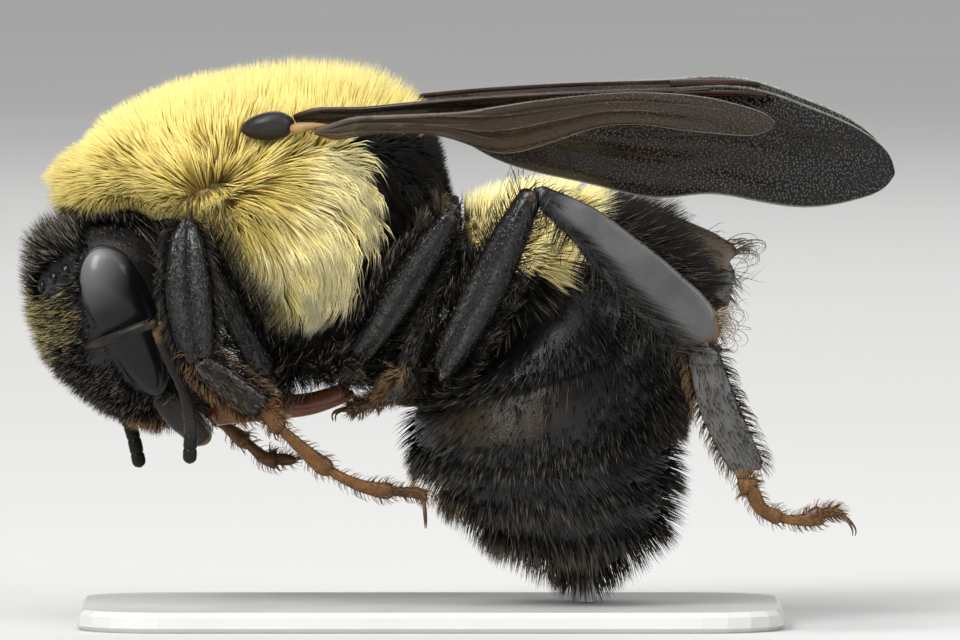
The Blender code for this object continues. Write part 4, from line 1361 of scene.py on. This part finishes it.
def joint_coat(leg, part, grid, count, face, edge_hairs):
    """Roots, tips and the rest for the bristles of one joint, and their colours."""
    tibia, hind = part == "tibia", leg == "hindleg"
    basket = tibia and hind
    quarter = grid.shape[1] // 4
    sunk = np.abs(grid[:, quarter, 1]).mean() < np.abs(grid[:, -quarter, 1]).mean()
    inward = 1 if sunk else -1  # the half of the lap that faces the body

    def is_inner(around):
        return np.sin(around * 2 * np.pi) * inward > 0.3

    def thicker(middle, along, around):
        edge = np.abs(lap_cos(around))
        if basket:
            lower = np.where(lap_cos(around) < -0.3, 1.0, 0.0)
            bare = np.where(edge > 0.95, 0.6, 0.0) + lower + np.where(along < 0.2, 0.6, 0.0)
            return np.maximum(bare, np.where(is_inner(around), 0.9, 0.0))
        return 0.5 + edge**6 * 1.5 + np.where((along > TIBIA_END) & tibia, 4.0, 0.0)

    place, normal, tail, spot = plant(grid, count, thicker)
    around, along = spot.T
    lap = lap_cos(around)
    fringe = np.abs(lap) > 0.9
    lift = np.where(fringe, 0.85, 0.4)[:, None]
    way = unit(normal * lift + tail + rng.normal(size=normal.shape) * 0.1)
    length = np.where(fringe, rng.uniform(*edge_hairs, count), rng.uniform(*face, count))
    if (leg, part) == ("foreleg", "femur"):
        length *= FORE_FEMUR_HAIR
    if tibia and not hind:
        length *= np.where(along > TIBIA_END, 1.7, 1.0)
    if basket:
        lower, inner = lap < -0.3, is_inner(around)
        length = np.where(lower, rng.uniform(0.5, 1.0, count), rng.uniform(0.2, 0.5, count))
        length = np.where(inner, rng.uniform(0.12, 0.3, count), length)
        length *= np.clip(0.45 + along * 1.5, 0, 1)
        down = unit(grid[:, grid.shape[1] // 2].mean(0) - grid[:, 0].mean(0))
        way = unit(way + down * (0.7 * lower)[:, None])
        over = lower & ~inner & (along > 0.3) & (along * 1000 % 1 < 0.45)  # lie on the plate
        swept = unit(tail * 0.75 + normal * 0.3 - down * 0.5 + (way - normal) * 0.12)
        way = np.where(over[:, None], swept, way)
        length *= np.where(over & (along > 0.55), 1.45, 1.0)
    tips = place + way * length[:, None]
    bows = normal * (length * np.where(fringe, 0.2, 0.06))[:, None]
    radii = rng.uniform(*BRISTLE_RADII, count) + 0.002 * fringe
    gold = rng.random(count) < (1.0 if part == "tarsus" else 0.0)
    if part == "basitarsus":
        likely = (0.35 if hind else 0.5) * along + (along > 0.85) + 0.5 * (lap < -0.7)
        gold = rng.random(count) < likely
    if tibia:
        gold |= along > 0.92
    if basket:
        gold |= inner & (rng.random(count) < 0.6)
    # Brown bristles have pale tips, partly painted highlights.
    colour = np.where(gold, "gold", np.where(rng.random(count) < 0.4, "brown", "black"))
    return colour, [place, tips, bows, radii, spot, rng.random(count)]


def leg_coat(leg, side):
    """Short bristles along a leg, and the long fringes of its edges."""
    store = {label: [] for label in BRISTLE_LOOKS}
    for number, part in enumerate(LEG_PARTS):
        count, face, edge_hairs = LEG_BRISTLES[part]
        count = int(count * (1 if side == "left" else FAR_SHARE))
        grids = leg_shapes["_".join((leg, side, part))]
        for joint, grid in enumerate(grids):
            colour, hairs = joint_coat(leg, part, grid, count, face, edge_hairs)
            hairs[4] = (hairs[4] + [number, joint]) / [len(LEG_PARTS), len(grids)]
            for label in store:
                store[label].append([v[colour == label] for v in hairs])
    for label, looks in BRISTLE_LOOKS.items():
        joined = [np.concatenate(v) for v in zip(*store[label])]
        if len(joined[0]):
            grow("_".join(("bristles", leg, side, label)), *joined, *looks)


for leg in LEGS:
    for side in SIDES:
        leg_coat(leg, side)


# ---- Pollen press ----
# The brown comb at the lower end of each hind tibia, which packs the pollen, with
# a tuft of long curled hairs on its upper corner.

COMB_HORN = horn_finish("comb_horn", (0.03, 0.014, 0.005), (0.2, 0.1, 0.035), 0.3, 14000)
CURL_HORN = horn_finish("curl_horn", (0.08, 0.06, 0.04), (0.4, 0.33, 0.24), 0.35, 20000)
CURLS = 34
CURL_SIZES = (0.13, 0.3)
curl_rng = np.random.default_rng(71)

for side in SIDES:
    grid = leg_shapes["hindleg_" + side + "_tibia"][0]
    way = unit(grid[-4].mean(0) - grid[-12].mean(0))
    up = unit(grid[-6, 0] - grid[-6, grid.shape[1] // 2])
    arch = grid[-11:-1, 0]
    comb = 0.015 + 0.055 * np.sin(np.pi * np.linspace(0.06, 0.96, 10))
    comb = tube_grid(arch - up * 0.02, comb, 12)
    add_shell_piece("pollen_comb_" + side, [comb], COMB_HORN)
    curls = []
    for root in curl_rng.uniform(1.0, 8.0, CURLS):
        start = np.array([np.interp(root, np.arange(10), arch[:, k]) for k in range(3)])
        forward = unit(up + way * 0.5 + curl_rng.normal(size=3) * 0.25)
        down = unit(way - up * 0.3 + curl_rng.normal(size=3) * 0.35)
        size = curl_rng.uniform(*CURL_SIZES)
        bend = np.linspace(0, curl_rng.uniform(2.6, 4.4), 10)[:, None]
        path = start + forward * size * np.sin(bend) * 1.2 + down * size * (1 - np.cos(bend))
        path = path + forward * size * bend * 0.3
        curls.append(tube_grid(path, 0.011 * (1 - 0.7 * np.linspace(0, 1, 10)), 4))
    add_shell_piece("basket_curls_" + side, curls, CURL_HORN)


# ---- Feelers ----
# A long bare first joint that stands on the face and a whip of ten short rings,
# dull black and finely pitted.

FEELER_HORN = horn_finish(
    "feeler_horn", (0.006, 0.005, 0.004), (0.04, 0.035, 0.027), 0.32, 20000, gloss=0.15
)
WHIP_HORN = leg_finish(
    "whip_horn", (0.2, 0.985), (0.13, 0.085, 0.04), ((0.006, 0.006, 0.005), (0.024, 0.021, 0.017)),
    (0.02, 0.016, 0.012), roughness=0.3, pits=26000, strength=0.3, gloss=0.12,
)
WHIP_RINGS = 10

for side in SIDES:
    for part, before in (("scape", "head"), ("flagellum", "antenna_" + side + "_scape")):
        node = "_".join(("antenna", side, part))
        line = measured(node, before)[0]
        if part == "flagellum":
            tip = line[-5] + unit(line[-5] - line[-9]) * np.array([[0.12], [0.26]])
            line = np.vstack([line[:-4], tip])
        line = finer(line, 6)
        walked = np.linalg.norm(np.diff(line, axis=0), axis=1).cumsum()
        t = np.append(0, walked / walked[-1])
        finish, radii = FEELER_HORN, 0.1 + 0.035 * t
        if part == "flagellum":
            cell = t * WHIP_RINGS % 1.0
            radii = 0.12 + 0.05 * np.clip(t * 1.6, 0, 1)
            finish, radii = WHIP_HORN, radii * (1 - 0.2 * (np.abs(cell - 0.5) * 2) ** 8)
        rounding = np.sqrt(1 - np.clip((t - 0.955) / 0.046, 0, 0.97) ** 2)
        add_horn(node, [tube_grid(line, radii * rounding, 20)], finish)


# ---- Mouthparts ----
# Two stout dark jaws with a golden rim, and behind them the red-brown, glossy
# sheath of the tongue, folded back under the head.

JAW_HORN = leg_finish(
    "jaw_horn", (0.02, 0.9), (0.01, 0.009, 0.008), ((0.007, 0.006, 0.006), (0.025, 0.018, 0.013)),
    (0.3, 0.17, 0.05), roughness=0.25, pits=12000, strength=0.5,
)
TONGUE_HORN = horn_finish(
    "tongue_horn", (0.07, 0.015, 0.005), (0.24, 0.07, 0.02), 0.22, 9000, 0.2, 0.4
)

for node, finish, slot in (
    ("mandible_left", JAW_HORN, "black_shell"),
    ("mandible_right", JAW_HORN, "black_shell"),
    ("proboscis", TONGUE_HORN, "brown_shell"),
):
    *shape, wide = measured(node, "head")
    line, widths, depths = (finer(values, 2) for values in shape)
    add_horn(node, [limb_grid(line, widths * 0.9, depths * 0.75, wide, 28, 2.4)], finish)


# ---- Wing bases ----
# A smooth dark cap, the tegula, over the root of each pair of wings, sunk a
# little into the coat.

CAP_HORN = horn_finish(
    "cap_horn", (0.009, 0.008, 0.008), (0.03, 0.027, 0.025), 0.3, 12000, 0.4, gloss=0.2
)
CAP_SUNK = 0.08
CAP_SHAPE = [1, 0.9, 0.75]
CAP_TAPER = 0.15

for side in SIDES:
    centre, axes, halves = ellipsoid_axes("tegula_" + side)
    cap = egg_grid(sunk(centre, CAP_SUNK), axes, halves * CAP_SHAPE, CAP_TAPER, 36)
    name = "tegula_cap_" + side
    add_shell_piece(name, [cap], CAP_HORN, ("tegula_" + side,), EYE_DOME)


# ---- Wings ----
# Two pairs of thin smoky membranes, the hind pair outside the fore pair. Veins are
# horny tubes that run through both faces; beyond them the membrane is pimpled.

MEMBRANE = 0.018  # half the thickness
VEINS = {
    # paths of (share of the length, place across from -1 rear edge to 1 front edge)
    "forewing": (
        (0.05, ((0.02, 0.8), (0.2, 0.93), (0.45, 0.95), (0.62, 0.93))),
        (0.075, ((0.58, 0.9), (0.64, 0.88), (0.69, 0.93))),
        (0.03, ((0.64, 0.85), (0.72, 0.55), (0.83, 0.52), (0.89, 0.8), (0.9, 0.93))),
        (0.035, ((0.03, 0.5), (0.2, 0.45), (0.32, 0.38), (0.42, 0.25))),
        (0.03, ((0.42, 0.25), (0.45, 0.55), (0.5, 0.9))),
        (0.026, ((0.47, 0.68), (0.56, 0.5), (0.66, 0.46), (0.76, 0.47), (0.84, 0.6))),
        (0.026, ((0.45, 0.5), (0.55, 0.2), (0.65, 0.1), (0.77, 0.12), (0.84, 0.25))),
        (0.024, ((0.57, 0.5), (0.56, 0.2))),
        (0.024, ((0.67, 0.46), (0.69, 0.1))),
        (0.024, ((0.77, 0.47), (0.8, 0.3), (0.79, 0.14))),
        (0.028, ((0.42, 0.25), (0.48, -0.1), (0.58, -0.3), (0.68, -0.35))),
        (0.024, ((0.62, 0.12), (0.6, -0.3))),
        (0.024, ((0.73, 0.11), (0.7, -0.15), (0.68, -0.35))),
        (0.03, ((0.03, 0.1), (0.2, -0.3), (0.38, -0.6), (0.48, -0.7))),
        (0.024, ((0.46, -0.02), (0.48, -0.7))),
    ),
    "hindwing": (
        (0.045, ((0.02, 0.75), (0.2, 0.9), (0.42, 0.93))),
        (0.03, ((0.36, 0.9), (0.5, 0.5), (0.65, 0.42), (0.8, 0.45))),
        (0.032, ((0.03, 0.4), (0.2, 0.3), (0.33, 0.1))),
        (0.026, ((0.33, 0.1), (0.4, 0.3), (0.42, 0.7))),
        (0.026, ((0.33, 0.1), (0.5, 0.0), (0.68, -0.05))),
        (0.026, ((0.27, 0.2), (0.32, -0.2), (0.45, -0.45))),
        (0.028, ((0.03, 0.0), (0.15, -0.4), (0.3, -0.75))),
    ),
}


def make_vein_tree():
    """A tube along every polyline, as thick as its girth attribute says."""
    tree = bpy.data.node_groups.new("vein_tubes", "GeometryNodeTree")
    for label, kind in (("Geometry", "Geometry"), ("Sides", "Int"), ("Finish", "Material")):
        tree.interface.new_socket(label, in_out="INPUT", socket_type="NodeSocket" + kind)
    tree.interface.new_socket("Geometry", in_out="OUTPUT", socket_type="NodeSocketGeometry")

    def add(kind, inputs, **constants):
        made = tree.nodes.new(kind)
        for socket, value in inputs.items():
            tree.links.new(value, made.inputs[socket])
        for socket, value in constants.items():
            made.inputs[socket.replace("_", " ")].default_value = value
        return made.outputs

    ins = add("NodeGroupInput", {})
    curve = add("GeometryNodeMeshToCurve", {0: ins["Geometry"]})
    girth = add("GeometryNodeInputNamedAttribute", {}, Name="girth")[0]
    thick = add("GeometryNodeSetCurveRadius", {"Curve": curve[0], "Radius": girth})
    ring = add("GeometryNodeCurvePrimitiveCircle", {"Resolution": ins["Sides"]}, Radius=1.0)
    ends = {"Curve": thick[0], "Profile Curve": ring["Curve"], "Scale": girth}
    tube = add("GeometryNodeCurveToMesh", ends, Fill_Caps=True)
    whole = add("GeometryNodeRealizeInstances", {0: tube[0]})
    finish = {"Geometry": whole[0], "Material": ins["Finish"]}
    add("NodeGroupOutput", {0: add("GeometryNodeSetMaterial", finish)[0]})
    return tree


VEIN_TREE = make_vein_tree()
VEIN_SIDES = 8


def vein_tubes(name, paths, girths, finish):
    """The tree's tubes along the paths, baked as a plain mesh."""
    edges, first = [], 0
    for path in paths:
        edges += [(first + i, first + i + 1) for i in range(len(path) - 1)]
        first += len(path)
    mesh = bpy.data.meshes.new("paths")
    mesh.from_pydata([tuple(p) for p in np.vstack(paths) * MM], edges, [])
    store_values(mesh, "girth", np.concatenate(girths) * MM)
    carrier = new_object("carrier", mesh)
    modifier = carrier.modifiers.new("nodes", "NODES")
    modifier.node_group = VEIN_TREE
    values = {"Sides": VEIN_SIDES, "Finish": finish}
    for item in VEIN_TREE.interface.items_tree:
        if item.in_out == "INPUT" and item.name in values:
            modifier[item.identifier] = values[item.name]
    bpy.context.view_layer.update()
    graph = bpy.context.evaluated_depsgraph_get()
    baked = bpy.data.meshes.new_from_object(carrier.evaluated_get(graph))
    baked.name = name
    bpy.data.objects.remove(carrier, do_unlink=True)
    baked.shade_smooth()
    return baked


def membrane_finish(name, dark, light, tip, clear, pimples):
    """Smoky and clear near the root, blacker and pimpled beyond the veins, with painted glints on
    the pimples and a painted highlight along the edges.
    """
    made = new_finish(name, dark, 0.22, Coat_Weight=0.1, Specular_IOR_Level=0.25)
    tree = made.node_tree
    place, spread = object_place(tree), read(tree, "reach")
    cloud = noise(tree, 420, 4, 0.6, place)
    outer = ramp(tree, spread, (0.55, 0.0), (0.74, 1.0))
    tone = mix_colours(tree, outer, mix_colours(tree, cloud, dark, light), tip)
    parts = add_node(tree, "SeparateXYZ", {0: place}).outputs
    flat = add_node(tree, "CombineXYZ", {"X": parts["X"], "Y": parts["Z"]}).outputs[0]
    cells = {"Scale": 13000, "Vector": flat}
    cells = add_node(tree, "TexVoronoi", cells, voronoi_dimensions="2D")
    pimple_and_glint = ramp(tree, cells.outputs["Distance"], (0.06, pimples), (0.34, 0.0))
    patches = ramp(tree, noise(tree, 900, 3, 0.6, place), (0.35, 0.3), (0.65, 1.0))
    where = times(tree, ramp(tree, spread, (0.3, 0.15), (0.6, 1.0)), patches)
    pimple_and_glint = times(tree, pimple_and_glint, where)
    # The pimples are painted pale as glints, and also raised by the bump below.
    tone = mix_colours(tree, times(tree, pimple_and_glint, 0.8), tone, (0.32, 0.3, 0.28))
    # A painted highlight along the wing's edges, from about a third of its length on.
    edge = ramp(tree, spread, (0.28, 0.0), (0.42, 0.85))
    tone = mix_colours(tree, times(tree, read(tree, "rim"), edge), tone, (0.4, 0.38, 0.35))
    drive(made, "Base Color", tone)
    solid = plus(tree, times(tree, outer, 0.3), times(tree, cloud, 0.2))
    drive(made, "Alpha", plus(tree, solid, clear))
    drive(made, "Roughness", ramp(tree, cloud, (0.3, 0.14), (0.7, 0.3)))
    crease = times(tree, noise(tree, 1300, 4, 0.65, place), 0.6)
    set_bump(made, plus(tree, pimple_and_glint, crease), 1.0, 0.06)
    return made


MEMBRANE_FINISH = {
    "forewing": membrane_finish(
        "forewing_membrane", (0.01, 0.006, 0.004), (0.03, 0.018, 0.01),
        (0.002, 0.002, 0.002), 0.76, 1.0,
    ),
    "hindwing": membrane_finish(
        "hindwing_membrane", (0.02, 0.012, 0.006), (0.085, 0.053, 0.027),
        (0.035, 0.024, 0.015), 0.66, 0.5,
    ),
}
VEIN_FINISH = {
    "forewing": horn_finish(
        "fore_vein", (0.009, 0.006, 0.004), (0.04, 0.02, 0.011), 0.25, 12000, 0.2
    ),
    "hindwing": horn_finish(
        "hind_vein", (0.03, 0.022, 0.017), (0.12, 0.09, 0.07), 0.25, 12000, 0.2
    ),
}
HINGE_FINISH = horn_finish(
    "hinge_horn", (0.09, 0.045, 0.016), (0.36, 0.22, 0.085), 0.35, 9000, 0.5
)
HINGE_RADII = [0.06, 0.12, 0.14, 0.13, 0.11, 0.09, 0.06, 0.02]
WING_TRIM = 0.12  # how far the true edge lies inside the solid's
WING_RINGS, WING_SIDES = 90, 96
EDGE_GLINT_FROM = 0.955  # the share across where the painted highlight along the edge begins
HOOKS = 20  # in the row on the hindwing's front edge
HOOK_ROW = (0.5, 0.66)  # the shares of its length between which they stand


def wing_place(wing, share, across):
    """A point of the membrane, which is pleated along its veins."""
    line, widths, wide, thin = wing
    at = np.linspace(0, 1, len(line))
    middle = np.stack([np.interp(share, at, line[:, k]) for k in range(3)], -1)
    half = np.interp(share, at, np.maximum(widths - WING_TRIM, widths * 0.4))
    inner = np.sin(np.pi * np.clip(share * 1.25, 0, 1))
    pleat = 0.05 * np.sin(across * 8 + share * 3) * inner * (1 - across**8)
    pleat += 0.03 * np.sin(share * 9 + across * 2.4) * (1 - np.abs(across)) * share
    return middle + wide * (half * across)[..., None] + thin * pleat[..., None]


def add_wing(kind, side):
    node = kind + "_" + side
    line, widths, _, wide = measured(node, "tegula_" + side, 60)
    thin = unit(np.cross(unit(line[-1] - line[0]), wide))
    thin = thin if thin[1] * (1 if side == "right" else -1) > 0 else -thin
    shape = line, widths, wide, thin
    share = np.linspace(0, 1, WING_RINGS)[:, None] * np.ones((1, WING_SIDES))
    angle = lap_angles(WING_SIDES)
    across = np.cos(angle)[None] * np.ones((WING_RINGS, 1))
    grid = wing_place(shape, share, across)
    grid = grid + thin * (np.sin(angle) * MEMBRANE)[None, :, None]
    wing = new_object(kind + "_membrane_" + side, shell_mesh(kind, [grid], 0.02))
    store_values(wing.data, "reach", np.append(share.ravel(), [0.0, 1.0]))
    # rim marks the edges that get the painted highlight.
    rim = np.clip((np.abs(across.ravel()) - EDGE_GLINT_FROM) / 0.03, 0, 1)
    store_values(wing.data, "rim", np.append(rim, [0.0, 1.0]))
    wing.data.materials.append(MEMBRANE_FINISH[kind])
    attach(wing, "root")
    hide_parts(node)
    paths, girths = [], []
    for girth, path in VEINS[kind]:
        route = finer(np.array(path), 8)
        paths.append(wing_place(shape, route[:, 0], route[:, 1]))
        girths.append(np.linspace(girth * 1.4, girth, len(route)))
    if kind == "hindwing":
        bend = np.linspace(0, 1, 5)
        for at in np.linspace(*HOOK_ROW, HOOKS):
            hook = wing_place(shape, at + 0.004 * np.sin(bend * 2), 0.97 + 0 * bend)
            paths.append(hook + wide * (0.1 * np.sin(bend * 2))[:, None] + thin * 0.04)
            girths.append(0.012 * (1 - 0.7 * bend))
    else:
        root = wing_place(shape, np.linspace(0.0, 0.15, 8), np.full(8, 0.35))
        hinge = tube_grid(root + thin * 0.38, HINGE_RADII)
        add_shell_piece("wing_hinge_" + side, [hinge], HINGE_FINISH)
    name = kind + "_veins_" + side
    piece = new_object(name, vein_tubes(name, paths, girths, VEIN_FINISH[kind]))
    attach(piece, "root")


for kind in ("forewing", "hindwing"):
    for side in SIDES:
        add_wing(kind, side)
